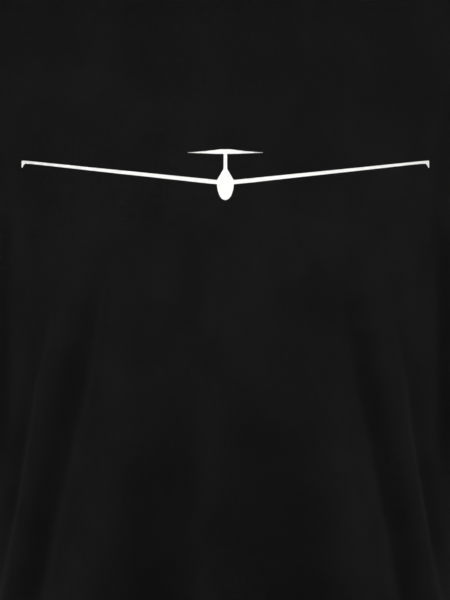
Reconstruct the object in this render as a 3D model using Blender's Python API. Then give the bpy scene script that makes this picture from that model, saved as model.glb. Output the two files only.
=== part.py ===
"""Short-sleeved crew-neck T-shirt with a glider print, filled out as if it were worn.

Metres, +Z up. The front faces -Y, and the left sleeve is at +X. The origin is the middle of the
neck opening, level with the highest points of the shoulders. Each panel, sleeve, rib, tape and
seam allowance is a closed shell, a hair's breadth from the one that it is sewn to.
"""

import math

import bmesh
import bpy
import numpy as np

BODY_LENGTH = 0.740  # highest shoulder point to the hem
CLOTH = 0.0015  # one layer of jersey
RIB_CLOTH = 0.0020  # the folded 1x1 rib of the collar
ALLOWANCE_CLOTH = 0.0012  # overlocked seam allowances and the neck tape
GAP = 0.0003  # between pieces that touch
HEM_DEPTH = 0.022  # turned-up edge of the body and sleeves
SEAM_WIDTH = 0.0065  # overlocked allowance inside the armholes

SHOULDER_HEIGHT = -0.055  # end of the shoulder seam
UNDERARM_HEIGHT = -0.280
ARMHOLE_HALF_WIDTH = 0.062  # front to back
NECK_HALF_WIDTH = 0.088
NECK_FRONT = 0.093  # from the middle of the neck forward to the seam of the rib
NECK_BACK = 0.062
NECK_FRONT_SQUARENESS = 2.6  # exponents of the neck's outline seen from above
NECK_BACK_SQUARENESS = 2.1
RIB_FRONT_INWARD = 0.0105  # the rib leans in at the front and stands up at the back
RIB_BACK_INWARD = 0.0045
RIB_WIDTH = 0.0200
TAPE_WIDTH = 0.011
LABEL_HALF_WIDTH = 0.021
LABEL_LENGTH = 0.022
LABEL_TOP = -0.014
LABEL_CLOTH = 0.0008

SLEEVE_LENGTH = 0.213  # shoulder point to the edge of the sleeve, in a straight line
SLEEVE_FALL = math.radians(43)  # that line, below level
ARM_ANGLE = math.radians(34)  # the sleeve's axis at its opening, from vertical
CUFF_HALF_HEIGHT = 0.066
CUFF_HALF_DEPTH = 0.060
CUFF_FORWARD = 0.006

PRINT_CENTRE_HEIGHT = -0.2455  # middle of the wing at its root
PRINT_FILM = 0.00025
WING_HALF_SPAN = 0.1652
WING_RISE = 0.0176  # tip above root
WING_ROOT = 0.0035  # thickness, as the wing shows from the front
WING_TIP = 0.0022
WINGLET_DROP = 0.0062
TAIL_HALF_SPAN = 0.0307
TAIL_ABOVE = 0.0268  # top of the tailplane above the wing's root
FUSELAGE_HALF_WIDTH = 0.0070
FUSELAGE_BELOW = 0.0144  # lowest point below the wing's root
WIDEST_BELOW = 0.0030  # widest part of the fuselage
FIN_HALF_WIDTH = 0.0016

# Level sections of the body, from the neck down.
SECTIONS = np.array(
    [
        # height, half width, front, back, squareness
        (0.030, 0.0300, 0.036, 0.034, 0.00),
        (0.000, 0.0880, 0.050, 0.058, 0.00),
        (-0.020, 0.1400, 0.061, 0.075, 0.00),
        (-0.055, 0.2320, 0.080, 0.096, 0.02),
        (-0.100, 0.2370, 0.098, 0.109, 0.07),
        (-0.180, 0.2210, 0.120, 0.117, 0.14),
        (-0.280, 0.2070, 0.132, 0.118, 0.16),
        (-0.400, 0.2040, 0.127, 0.113, 0.15),
        (-0.560, 0.2100, 0.126, 0.114, 0.12),
        (-0.760, 0.2190, 0.130, 0.121, 0.09),
    ]
)[::-1]

SHIRT_BLACK = (0.0100, 0.0100, 0.0105)
TAPE_BLACK = (0.0130, 0.0130, 0.0135)
PRINT_WHITE = (0.9000, 0.9000, 0.8900)
LABEL_GREY = (0.0600, 0.0600, 0.0620)

BODY_HEIGHTS = np.concatenate(
    [
        [-BODY_LENGTH, -BODY_LENGTH + HEM_DEPTH - 0.0005, -BODY_LENGTH + HEM_DEPTH],
        np.linspace(-0.690, -0.090, 21),
        np.linspace(-0.070, -0.055, 2),
        np.linspace(-0.046, 0.000, 6),
    ]
)
ARMHOLE_ANGLES = np.linspace(0, 2 * math.pi, 32, endpoint=False)
NECK_ANGLES = np.linspace(0, 2 * math.pi, 48, endpoint=False)
SEAM_ANGLE = math.radians(5.0)  # half width of the allowances along the side and shoulder
HALF_GAP_ANGLE = math.radians(0.10)
PANEL_ANGLES = np.concatenate(
    [
        [-math.pi / 2 + HALF_GAP_ANGLE, -math.pi / 2 + SEAM_ANGLE],
        np.linspace(-math.radians(78), math.radians(78), 21),
        [math.pi / 2 - SEAM_ANGLE, math.pi / 2 - HALF_GAP_ANGLE],
    ]
)


def clear_scene():
    for thing in list(bpy.data.objects):
        bpy.data.objects.remove(thing, do_unlink=True)


def section(height):
    """Half width, front, back and squareness at a height, on smooth curves through the table."""
    heights = SECTIONS[:, 0]
    slopes = np.gradient(SECTIONS, heights, axis=0)
    k = int(np.clip(np.searchsorted(heights, height) - 1, 0, len(heights) - 2))
    step = heights[k + 1] - heights[k]
    t = (height - heights[k]) / step
    low = (2 * t**3 - 3 * t**2 + 1) * SECTIONS[k] + (t**3 - 2 * t**2 + t) * step * slopes[k]
    high = (3 * t**2 - 2 * t**3) * SECTIONS[k + 1] + (t**3 - t**2) * step * slopes[k + 1]
    return (low + high)[1:]


def skin(angle, height):
    """A point of the body's outer face. Angle 0 is the middle of the front, 90 degrees the left side."""
    half_width, front, back, square = section(height)
    depth = front if math.cos(angle) >= 0 else back
    x = half_width * math.sin(angle) * (1 + square * math.cos(angle) ** 2)
    y = -depth * math.cos(angle) * (1 + square * math.sin(angle) ** 2)
    return np.array([x, y, height])


def outward(angle, height):
    small = 1e-4
    around = skin(angle + small, height) - skin(angle - small, height)
    up = skin(angle, height + small) - skin(angle, height - small)
    normal = np.cross(around, up)
    return normal / np.linalg.norm(normal)


def layer(angles, heights, depth):
    """Rows of points at a depth below the outer face; depth may be a function of the height."""
    at = depth if callable(depth) else lambda height: depth
    return np.array([[skin(a, h) - at(h) * outward(a, h) for a in angles] for h in heights])


def material(name, colour, roughness):
    made = bpy.data.materials.get(name) or bpy.data.materials.new(name)
    made.use_nodes = True
    shader = made.node_tree.nodes["Principled BSDF"]
    shader.inputs["Base Color"].default_value = (*colour, 1.0)
    shader.inputs["Roughness"].default_value = roughness
    shader.inputs["Metallic"].default_value = 0.0
    return made


def add_object(name, points, faces, finish):
    mesh = bpy.data.meshes.new(name)
    mesh.from_pydata([tuple(p) for p in points], [], faces)
    shape = bmesh.new()
    shape.from_mesh(mesh)
    bmesh.ops.triangulate(shape, faces=shape.faces[:])
    bmesh.ops.recalc_face_normals(shape, faces=shape.faces[:])
    shape.to_mesh(mesh)
    shape.free()
    mesh.materials.append(finish)
    mesh.shade_smooth()
    mesh.set_sharp_from_angle(angle=math.radians(50))
    thing = bpy.data.objects.new(name, mesh)
    bpy.context.collection.objects.link(thing)
    return thing


def shell(name, outer, inner, finish, around=False):
    """One closed wall between two grids of points; around joins the last column to the first."""
    rows, columns = outer.shape[:2]
    inside = rows * columns
    spans = columns if around else columns - 1
    faces = []
    for r in range(rows - 1):
        for c in range(spans):
            d = (c + 1) % columns
            low, high = r * columns, (r + 1) * columns
            faces.append((low + c, low + d, high + d, high + c))
            faces.append((inside + low + c, inside + high + c, inside + high + d, inside + low + d))
    for r in (0, rows - 1):
        for c in range(spans):
            d = (c + 1) % columns
            row = r * columns
            faces.append((row + c, inside + row + c, inside + row + d, row + d))
    if not around:
        for c in (0, columns - 1):
            for r in range(rows - 1):
                low, high = r * columns + c, (r + 1) * columns + c
                faces.append((low, high, inside + high, inside + low))
    points = np.concatenate([outer.reshape(-1, 3), inner.reshape(-1, 3)])
    return add_object(name, points, faces, finish)


def prism(name, outline, low, high, axis):
    """A cutter: a closed outline, given in the plane across the axis, drawn from low to high."""
    count = len(outline)
    points = []
    for end in (low, high):
        for first, second in outline:
            points.append((end, first, second) if axis == "X" else (first, second, end))
    faces = [tuple(range(count)), tuple(range(2 * count - 1, count - 1, -1))]
    faces += [(k, (k + 1) % count, count + (k + 1) % count, count + k) for k in range(count)]
    cutter = add_object(name, points, faces, material("cutter", (0.5, 0.5, 0.5), 1.0))
    cutter.hide_render = True
    cutter.display_type = "WIRE"
    return cutter


def cut(thing, cutter, operation="DIFFERENCE"):
    modifier = thing.modifiers.new(cutter.name, "BOOLEAN")
    modifier.object = cutter
    modifier.operation = operation
    modifier.solver = "EXACT"


def armhole(angle, grow=0.0):
    """Front-to-back place and height of the armhole's seam; angle 0 is the shoulder point."""
    middle = (SHOULDER_HEIGHT + UNDERARM_HEIGHT) / 2
    half_height = (SHOULDER_HEIGHT - UNDERARM_HEIGHT) / 2
    y = -(ARMHOLE_HALF_WIDTH + grow) * math.sin(angle)
    return y, middle + (half_height + grow) * math.cos(angle)


def neck(angle, grow=0.0):
    """The neck seam from above; angle 0 is the middle of the front, 90 degrees the left."""
    ahead = math.cos(angle) >= 0
    power = 2 / (NECK_FRONT_SQUARENESS if ahead else NECK_BACK_SQUARENESS)
    depth = NECK_FRONT if ahead else NECK_BACK
    x = (NECK_HALF_WIDTH + grow) * math.copysign(abs(math.sin(angle)) ** power, math.sin(angle))
    y = -(depth + grow) * math.copysign(abs(math.cos(angle)) ** power, math.cos(angle))
    return x, y


def solve(inside, low, high):
    """The place between low, where inside holds, and high, where it doesn't."""
    for _ in range(48):
        middle = (low + high) / 2
        if inside(middle):
            low = middle
        else:
            high = middle
    return (low + high) / 2


def side_angle(y, height):
    """The angle at which the left half of the body has this y."""
    return solve(lambda a: skin(a, height)[1] < y, 0.0, math.pi)


def front_angle(x, height):
    """The angle at which the front of the body has this x."""
    return solve(lambda a: skin(a, height)[0] < x, -math.pi / 2, math.pi / 2)


def neck_height(x, y):
    """The height at which the body passes through x, y, near the neck."""

    def covered(height):
        if abs(x) >= section(height)[0]:
            return False
        angle = front_angle(abs(x), height)
        if y > 0:
            angle = math.pi - angle
        return abs(y) < abs(skin(angle, height)[1])

    return solve(covered, -0.110, 0.012)


def make_cutters():
    holes = {}
    for side, ends in (("left", (0.10, 0.32)), ("right", (-0.32, -0.10))):
        for use, grow in (("armhole", 0.0), ("inside", GAP), ("allowance", SEAM_WIDTH)):
            outline = [armhole(a, grow) for a in ARMHOLE_ANGLES]
            holes[side, use] = prism(f"cutter_{side}_{use}", outline, *ends, "X")
        outline = [armhole(a, SEAM_WIDTH + GAP) for a in ARMHOLE_ANGLES]
        holes[side, "clear"] = prism(f"cutter_{side}_clear", outline, *ends, "X")
    for use, grow in (
        ("neck", 0.0),
        ("inside", GAP),
        ("tape", TAPE_WIDTH),
        ("clear", TAPE_WIDTH + GAP),
    ):
        outline = [neck(a, grow) for a in NECK_ANGLES]
        holes["neck", use] = prism(f"cutter_neck_{use}", outline, -0.16, 0.06, "Z")
    return holes


def panel_depth(height):
    """Two layers below the top of the hem, one above it."""
    return CLOTH if height > -BODY_LENGTH + HEM_DEPTH - 0.0003 else 2 * CLOTH


def make_panels(holes, jersey):
    for name, turn in (("front_panel", 0.0), ("back_panel", math.pi)):
        angles = PANEL_ANGLES + turn
        outer = layer(angles, BODY_HEIGHTS, 0.0)
        inner = layer(angles, BODY_HEIGHTS, panel_depth)
        panel = shell(name, outer, inner, jersey)
        cut(panel, holes["neck", "neck"])
        cut(panel, holes["left", "armhole"])
        cut(panel, holes["right", "armhole"])


def allowance(name, angles, heights, finish, around=False):
    near = CLOTH + GAP
    outer = layer(angles, heights, near)
    inner = layer(angles, heights, near + ALLOWANCE_CLOTH)
    return shell(name, outer, inner, finish, around)


def make_seams(holes, tape):
    """Overlocked allowances inside the side, shoulder and armhole seams, and the neck tape."""
    hem_top = -BODY_LENGTH + HEM_DEPTH
    side_rows = BODY_HEIGHTS[(BODY_HEIGHTS > hem_top + 0.001) & (BODY_HEIGHTS < -0.2)]
    shoulder_rows = BODY_HEIGHTS[BODY_HEIGHTS > -0.08]
    everywhere = np.concatenate([PANEL_ANGLES, PANEL_ANGLES + math.pi])
    armhole_rows = BODY_HEIGHTS[BODY_HEIGHTS > -0.34]
    for side, middle in (("left", math.pi / 2), ("right", -math.pi / 2)):
        offsets = (-SEAM_ANGLE, -HALF_GAP_ANGLE, HALF_GAP_ANGLE, SEAM_ANGLE)
        angles = [middle + offset for offset in offsets]
        seam = allowance(f"{side}_side_seam", angles, side_rows, tape)
        cut(seam, holes[side, "clear"])
        seam = allowance(f"{side}_shoulder_seam", angles, shoulder_rows, tape)
        cut(seam, holes[side, "clear"])
        cut(seam, holes["neck", "clear"])
        seam = allowance(f"{side}_armhole_seam", everywhere, armhole_rows, tape, around=True)
        cut(seam, holes[side, "allowance"], "INTERSECT")
        cut(seam, holes[side, "inside"])
    back = PANEL_ANGLES[1:-1] + math.pi
    strip = allowance("neck_tape", back, shoulder_rows, tape)
    cut(strip, holes["neck", "tape"], "INTERSECT")
    cut(strip, holes["neck", "inside"])


def make_label(finish):
    """A blank woven label, sewn in at the middle of the back neck."""
    near = CLOTH + GAP + ALLOWANCE_CLOTH + 0.0006
    outer, inner = [], []
    for height in np.linspace(LABEL_TOP - LABEL_LENGTH, LABEL_TOP, 5):
        angles = [math.pi - front_angle(x, height) for x in LABEL_HALF_WIDTH * np.array([1, 0, -1])]
        outer += list(layer(angles, [height], near))
        inner += list(layer(angles, [height], near + LABEL_CLOTH))
    shell("neck_label", np.array(outer), np.array(inner), finish)


def wall_normals(grid, flip):
    """Outward directions over a grid of rings, from its neighbours."""
    around = np.roll(grid, -1, axis=1) - np.roll(grid, 1, axis=1)
    along = np.gradient(grid, axis=0)
    normal = np.cross(around, along) * flip
    return normal / np.linalg.norm(normal, axis=2, keepdims=True)


def sleeve_grid(side, stations):
    """Rings from the armhole to the opening, on curves that leave the shoulder along its slope."""
    axis = np.array([math.sin(ARM_ANGLE), 0.0, -math.cos(ARM_ANGLE)])
    across = np.array([math.cos(ARM_ANGLE), 0.0, math.sin(ARM_ANGLE)])
    shoulder = skin(math.pi / 2, SHOULDER_HEIGHT)
    fall = np.array([math.cos(SLEEVE_FALL), 0.0, -math.sin(SLEEVE_FALL)])
    middle = shoulder + SLEEVE_LENGTH * fall - CUFF_HALF_HEIGHT * across
    middle[1] -= CUFF_FORWARD
    grid = np.zeros((len(stations), len(ARMHOLE_ANGLES), 3))
    sheer = np.zeros(len(ARMHOLE_ANGLES))
    for k, angle in enumerate(ARMHOLE_ANGLES):
        y, height = armhole(angle, -GAP)
        on_body = side_angle(y, height)
        start = skin(on_body, height)
        sheer[k] = outward(on_body, height)[0]
        end = middle + CUFF_HALF_HEIGHT * math.cos(angle) * across
        end[1] -= CUFF_HALF_DEPTH * math.sin(angle)
        reach = np.linalg.norm(end - start)
        below = (1 - math.cos(angle)) / 2
        leave = np.array([1.0, -0.10 * math.sin(angle), -0.45 + 0.85 * below])
        leave *= 0.9 * reach / np.linalg.norm(leave)
        for r, t in enumerate(stations):
            grid[r, k] = (
                (2 * t**3 - 3 * t**2 + 1) * start
                + (t**3 - 2 * t**2 + t) * leave
                + (3 * t**2 - 2 * t**3) * end
                + (t**3 - t**2) * axis * reach
            )
    if side < 0:
        grid[:, :, 0] *= -1
    return grid, sheer


def make_sleeves(jersey):
    hem_start = 1 - HEM_DEPTH / SLEEVE_LENGTH
    stations = np.concatenate(
        [[0.0, 0.05], np.linspace(0.13, hem_start - 0.05, 8), [hem_start, hem_start + 0.003, 1.0]]
    )
    for side, name in ((1, "left_sleeve"), (-1, "right_sleeve")):
        outer, sheer = sleeve_grid(side, stations)
        normals = wall_normals(outer, side)
        if np.mean(normals[5, 0] * np.array([side, 0, 1])) < 0:
            normals = -normals
        depth = np.where(stations > hem_start + 0.001, 2 * CLOTH, CLOTH)
        inner = outer - depth[:, None, None] * normals
        inner[0] = outer[0]
        inner[0, :, 0] -= side * CLOTH / sheer
        shell(name, outer, inner, jersey, around=True)


def make_neck_rib(ribbing):
    rows = (0.0, 0.15, 0.55, 1.0)
    outer = np.zeros((len(rows), len(NECK_ANGLES), 3))
    inner = np.zeros_like(outer)
    for k, angle in enumerate(NECK_ANGLES):
        x, y = neck(angle, -GAP)
        seam = np.array([x, y, neck_height(x, y)])
        ahead = (1 + math.cos(angle)) / 2
        lean_in = RIB_BACK_INWARD + ahead * (RIB_FRONT_INWARD - RIB_BACK_INWARD)
        rise = math.sqrt(RIB_WIDTH**2 - lean_in**2)
        top = np.array([*neck(angle, -lean_in), seam[2] + rise])
        run = top - seam
        inward = np.array([-x, -y, 0.0])
        inward /= np.linalg.norm(inward)
        down = np.array([0.0, 0.0, -1.0])
        lean = inward * run[2] + down * (run @ inward)
        lean *= RIB_CLOTH / np.linalg.norm(lean)
        for r, t in enumerate(rows):
            outer[r, k] = seam + t * run
            inner[r, k] = seam + t * run + lean
        inner[0, k] = seam + down * 2.2 * RIB_CLOTH
    shell("neck_rib", outer, inner, ribbing, around=True)


def glider_outline():
    """The printed glider seen from ahead, as x and height about the wing's root; the left half."""
    wing = []
    for t in np.linspace(0.0, 1.0, 15):
        x = FUSELAGE_HALF_WIDTH + t * (WING_HALF_SPAN - FUSELAGE_HALF_WIDTH)
        rise = WING_RISE * (0.86 * t + 0.14 * t**2)
        thick = WING_ROOT + t * (WING_TIP - WING_ROOT)
        wing.append((x, rise + thick / 2, rise - thick / 2))
    half = []
    for angle in np.linspace(0, math.pi / 2, 7):
        height = -WIDEST_BELOW - (FUSELAGE_BELOW - WIDEST_BELOW) * math.cos(angle)
        half.append((FUSELAGE_HALF_WIDTH * math.sin(angle), height))
    half += [(x, low) for x, _, low in wing[:-2]]
    tip_x, tip_top, _ = wing[-1]
    bend_x, _, bend_low = wing[-2]
    half.append((tip_x - 0.0026, tip_top - 0.0024))
    half.append((tip_x - 0.0010, tip_top - WINGLET_DROP * 0.78))
    half.append((tip_x, tip_top - WINGLET_DROP))
    half += [(x, top) for x, top, _ in reversed(wing)]
    shoulder_top = 0.0098
    for t in (0.35, 0.7, 1.0):
        x = FUSELAGE_HALF_WIDTH + t * (FIN_HALF_WIDTH - FUSELAGE_HALF_WIDTH)
        half.append((x, WING_ROOT / 2 + t * shoulder_top))
    half.append((FIN_HALF_WIDTH, TAIL_ABOVE - 0.0042))
    half.append((TAIL_HALF_SPAN * 0.45, TAIL_ABOVE - 0.0042))
    half.append((TAIL_HALF_SPAN, TAIL_ABOVE - 0.0030))
    half.append((TAIL_HALF_SPAN * 0.6, TAIL_ABOVE - 0.0012))
    half.append((TAIL_HALF_SPAN * 0.15, TAIL_ABOVE))
    return half


def make_print(ink):
    half = glider_outline()
    outline = half + [(-x, z) for x, z in reversed(half) if x > 1e-6]
    flat = bmesh.new()
    corners = [flat.verts.new((x, 0.0, PRINT_CENTRE_HEIGHT + z)) for x, z in outline]
    flat.faces.new(corners)
    planes = []
    for angle in np.radians(np.arange(-63, 64, 3)):
        planes.append(((skin(angle, PRINT_CENTRE_HEIGHT)[0], 0, 0), (1, 0, 0)))
    for above in (-0.006, 0.006, 0.018):
        planes.append(((0, 0, PRINT_CENTRE_HEIGHT + above), (0, 0, 1)))
    for point, normal in planes:
        parts = flat.verts[:] + flat.edges[:] + flat.faces[:]
        bmesh.ops.bisect_plane(flat, geom=parts, plane_co=point, plane_no=normal, dist=1e-6)
    bmesh.ops.triangulate(flat, faces=flat.faces[:])
    flat.verts.index_update()
    count = len(flat.verts)
    near, far = [], []
    for vert in flat.verts:
        angle = front_angle(vert.co.x, vert.co.z)
        place = skin(angle, vert.co.z)
        normal = outward(angle, vert.co.z)
        near.append(place + GAP * normal)
        far.append(place + (GAP + PRINT_FILM) * normal)
    faces = []
    for face in flat.faces:
        a, b, c = (v.index for v in face.verts)
        faces += [(a, b, c), (count + a, count + c, count + b)]
    for edge in flat.edges:
        if edge.is_boundary:
            a, b = (v.index for v in edge.verts)
            faces.append((a, b, count + b, count + a))
    flat.free()
    add_object("glider_print", near + far, faces, ink)


def main():
    clear_scene()
    jersey = material("black_cotton_jersey", SHIRT_BLACK, 0.95)
    ribbing = material("black_cotton_rib", SHIRT_BLACK, 0.95)
    tape = material("black_cotton_tape", TAPE_BLACK, 0.90)
    label = material("grey_woven_label", LABEL_GREY, 0.80)
    ink = material("white_film_print", PRINT_WHITE, 0.60)
    holes = make_cutters()
    make_panels(holes, jersey)
    make_seams(holes, tape)
    make_label(label)
    make_sleeves(jersey)
    make_neck_rib(ribbing)
    make_print(ink)


main()
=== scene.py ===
import math
import time

import bmesh
import bpy
import numpy as np
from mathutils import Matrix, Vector
from mathutils.bvhtree import BVHTree


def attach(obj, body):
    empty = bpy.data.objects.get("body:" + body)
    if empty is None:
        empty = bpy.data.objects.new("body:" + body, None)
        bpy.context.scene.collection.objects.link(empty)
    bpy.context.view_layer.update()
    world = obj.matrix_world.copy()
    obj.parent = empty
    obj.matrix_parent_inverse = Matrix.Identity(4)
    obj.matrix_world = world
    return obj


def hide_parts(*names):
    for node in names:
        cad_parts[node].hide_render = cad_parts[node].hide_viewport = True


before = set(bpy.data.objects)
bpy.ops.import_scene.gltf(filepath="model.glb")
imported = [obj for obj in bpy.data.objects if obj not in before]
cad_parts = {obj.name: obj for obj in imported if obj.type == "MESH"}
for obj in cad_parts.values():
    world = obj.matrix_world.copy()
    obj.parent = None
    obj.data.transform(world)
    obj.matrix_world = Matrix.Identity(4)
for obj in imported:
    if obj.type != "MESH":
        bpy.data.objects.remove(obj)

started = time.time()


def stage(text):
    print(f"{time.time() - started:6.1f} s  {text}", flush=True)


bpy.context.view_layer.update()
stage("frame loaded")

# Camera, lights and floor

photo = {
    "widthPixels": 450,
    "heightPixels": 600,
    "chestHeight": 0.480,  # metres of chest from the top of the picture to the bottom
    "chestDepth": -0.130,  # where that is measured
    "distance": 2.47,  # from there to the lens
    "lensHeight": -0.340,
}
pixelSize = photo["chestHeight"] / photo["heightPixels"]
lensPoint = np.array([0.0, photo["chestDepth"] - photo["distance"], photo["lensHeight"]])


def linear(hexColour):
    parts = [int(hexColour[k : k + 2], 16) / 255 for k in (1, 3, 5)]
    return (*[p / 12.92 if p <= 0.04045 else ((p + 0.055) / 1.055) ** 2.4 for p in parts], 1.0)


def addToScene(name, data):
    thing = bpy.data.objects.new(name, data)
    bpy.context.scene.collection.objects.link(thing)
    return thing


def makeCamera():
    data = bpy.data.cameras.new("chestCamera")
    data.sensor_width = 36.0  # along the picture's long side
    data.lens = data.sensor_width * photo["distance"] / photo["chestHeight"]
    thing = addToScene("chestCamera", data)
    thing.location = lensPoint
    thing.rotation_euler = (math.pi / 2, 0.0, 0.0)
    bpy.context.scene.camera = thing


lamps = {
    # place, what it faces, width and height in metres, watts, spread in degrees
    "wideSoftbox": ((0.0, -1.6, -0.30), (0.0, 0.0, -0.30), 3.0, 0.4, 14.6, 180),
    "leftSoftbox": ((1.6, -1.2, 0.0), (0.0, 0.0, -0.30), 0.5, 1.2, 7.6, 180),
    "rightSoftbox": ((-1.6, -1.2, 0.0), (0.0, 0.0, -0.30), 0.5, 1.2, 7.6, 180),
    "griddedSoftbox": ((0.0, -2.4, 0.3), (0.0, -0.13, -0.24), 2.4, 0.3, 0.47, 14),
    "backSoftbox": ((0.0, 1.8, 0.8), (0.0, 0.0, -0.35), 2.4, 0.8, 60.0, 180),
}
surroundings = {"floorBelowHem": 0.12, "floorWidth": 60.0, "air": "#DDDDDD", "airStrength": 0.24}


def makeLights():
    for name, (place, target, width, height, watts, spread) in lamps.items():
        data = bpy.data.lights.new(name, "AREA")
        data.spread = math.radians(spread)
        data.shape = "RECTANGLE"
        data.size, data.size_y, data.energy = width, height, watts
        thing = addToScene(name, data)
        thing.location = place
        thing.rotation_euler = (Vector(target) - Vector(place)).to_track_quat("-Z", "Y").to_euler()
        thing.visible_camera = False
    world = bpy.data.worlds.new("paleRoom")
    world.use_nodes = True
    air = world.node_tree.nodes["Background"]
    air.inputs["Color"].default_value = linear(surroundings["air"])
    air.inputs["Strength"].default_value = surroundings["airStrength"]
    bpy.context.scene.world = world
    bpy.context.scene.view_settings.view_transform = "Standard"
    bpy.context.scene.view_settings.look = "None"


def makeFloor(finish):
    bpy.ops.object.select_all(action="DESELECT")
    height = -shirt["bodyLength"] - surroundings["floorBelowHem"]
    bpy.ops.mesh.primitive_plane_add(size=surroundings["floorWidth"], location=(0.0, 0.0, height))
    floor = bpy.context.object
    floor.name = "studioFloor"
    bpy.ops.object.transform_apply(location=True, rotation=True, scale=True)
    floor.data.materials.append(finish)


# Finishes

finishes = {
    # pitch is the pattern's repeat and relief its depth, in metres; grains are counted per metre
    "jersey": {  # the real columns of loops are 0.8 mm apart, drawn twice as coarse so that they show
        "dye": "#0E0E0E", "lint": "#161616", "pitch": 0.0016, "relief": 0.00022,
        # the last value scales the painted light on raised folds and the painted shade in the hollows
        "roughness": 0.92, "specular": 0.07, "sheen": 0.03, "fading": 0.16,
    },
    "rib": {  # the ribs are modelled; these are the loops on them, drawn coarser so that they show
        "dye": "#0E0E0E", "lint": "#161616", "pitch": 0.0012, "relief": 0.00020,
        "roughness": 0.94, "specular": 0.07, "sheen": 0.03,
    },
    "tape": {  # twill lines 0.9 mm apart, turning back every 2.8 mm
        "dye": "#141414", "lint": "#1C1C1C", "pitch": 0.0009, "relief": 0.00018, "turn": 0.0028,
        "roughness": 0.86, "specular": 0.20, "sheen": 0.05,
    },
    "label": {  # the real threads are 0.2 mm apart, drawn coarser so that they show
        "dye": "#3F3F42", "lint": "#4B4B4E", "pitch": 0.0005, "relief": 0.00008,
        "roughness": 0.55, "specular": 0.35, "sheen": 0.05,
    },
    "thread": {  # a turn of its twist every 0.7 mm
        "dye": "#171717", "shade": "#111111", "roughness": 0.55, "grains": 1400.0, "detail": 1.0,
    },
    "film": {  # the grain of the knit under it, 1.6 mm
        "dye": "#F6F6F4", "shade": "#F1F1EF", "roughness": 0.52,
        "grains": 620.0, "detail": 2.0, "relief": 0.00005,
    },
    "floor": {"dye": "#D6D5D2", "roughness": 0.75},
}
fibres = {
    "yarnPatch": (0.0019, 0.0065),  # thicker and thinner places in the yarn, metres across and along
    "washPatch": (0.045, 0.060),  # places that took the dye and the washing differently
    "yarnShare": 0.9,
    "mixRange": (0.60, 1.30),  # from plain dye to plain lint
    "yarnRelief": 0.6,
}


def addNode(tree, kind, inputs, **settings):
    # an input given as (node, output) is a link, any other is a value
    node = tree.nodes.new("ShaderNode" + kind)
    for key, value in settings.items():
        setattr(node, key, value)
    for key, value in inputs.items():
        if isinstance(value, tuple) and isinstance(value[0], bpy.types.Node):
            tree.links.new(value[0].outputs[value[1]], node.inputs[key])
        else:
            node.inputs[key].default_value = value
    return node


def newFinish(name, look, values):
    made = bpy.data.materials.new(name)
    made.use_nodes = True
    shader = made.node_tree.nodes["Principled BSDF"]
    for key, value in {"Roughness": look["roughness"], **values}.items():
        shader.inputs[key].default_value = value
    return made, made.node_tree, shader


def clothFinish(name, look, pattern):
    # yarn fibres scatter light: a dull dyed ground, a little pale lint and a soft sheen at grazing angles
    values = {"IOR": 1.53, "Specular IOR Level": look["specular"], "Sheen Weight": look["sheen"]}
    values |= {"Sheen Roughness": 0.45, "Sheen Tint": (0.80, 0.80, 0.80, 1.0)}
    made, tree, shader = newFinish(name, look, values)
    place = addNode(tree, "UVMap", {}, uv_map="cloth")
    apart = addNode(tree, "SeparateXYZ", {"Vector": (place, "UV")})
    height = pattern(tree, apart, look)
    patches = []
    for key, detail, rough in (("yarnPatch", 2.0, 0.6), ("washPatch", 3.0, 0.55)):
        across, along = fibres[key]
        spread = addNode(tree, "Mapping", {"Scale": (1 / across, 1 / along, 1.0), "Vector": (place, "UV")})
        values = {"Scale": 1.0, "Detail": detail, "Roughness": rough, "Vector": (spread, "Vector")}
        patches.append((addNode(tree, "TexNoise", values, noise_dimensions="2D"), "Fac"))
    yarn, wash = patches
    blend = addNode(tree, "Math", {0: yarn, 1: fibres["yarnShare"], 2: wash}, operation="MULTIPLY_ADD")
    low, high = fibres["mixRange"]
    mix = addNode(tree, "MapRange", {"Value": (blend, "Value"), "From Min": low, "From Max": high})
    tones = {0: (mix, "Result"), 6: linear(look["dye"]), 7: linear(look["lint"])}
    colour = (addNode(tree, "Mix", tones, data_type="RGBA"), 2)
    if "fading" in look:
        # painted light and shade: raised folds are painted a little paler than the hollows between them
        worn = addNode(tree, "Attribute", {}, attribute_name="paintedLightAndShade")
        factor = {0: (worn, "Fac"), 1: look["fading"], 2: 1.0}
        factor = addNode(tree, "Math", factor, operation="MULTIPLY_ADD")
        colour = (addNode(tree, "VectorMath", {0: colour, "Scale": (factor, "Value")}, operation="SCALE"), 0)
    tree.links.new(colour[0].outputs[colour[1]], shader.inputs["Base Color"])
    total = {0: yarn, 1: fibres["yarnRelief"], 2: (height, "Value")}
    total = addNode(tree, "Math", total, operation="MULTIPLY_ADD")
    bump = addNode(tree, "Bump", {"Strength": 0.6, "Distance": look["relief"], "Height": (total, "Value")})
    tree.links.new(bump.outputs["Normal"], shader.inputs["Normal"])
    return made


def wave(tree, place, period, phase=None):
    turns = addNode(tree, "Math", {0: place, 1: 2 * math.pi / period}, operation="MULTIPLY")
    if phase:
        turns = addNode(tree, "Math", {0: (turns, "Value"), 1: phase}, operation="ADD")
    return addNode(tree, "Math", {0: (turns, "Value")}, operation="SINE")


def knitLoops(tree, apart, look):
    # upright columns of V-shaped loops
    wales = wave(tree, (apart, "X"), look["pitch"])
    legs = addNode(tree, "Math", {0: (wales, "Value")}, operation="ABSOLUTE")
    lean = addNode(tree, "Math", {0: (legs, "Value"), 1: 2.2}, operation="MULTIPLY")
    courses = wave(tree, (apart, "Y"), look["pitch"] * 0.85, (lean, "Value"))
    loops = {0: (courses, "Value"), 1: 0.2, 2: (legs, "Value")}
    return addNode(tree, "Math", loops, operation="MULTIPLY_ADD")


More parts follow.
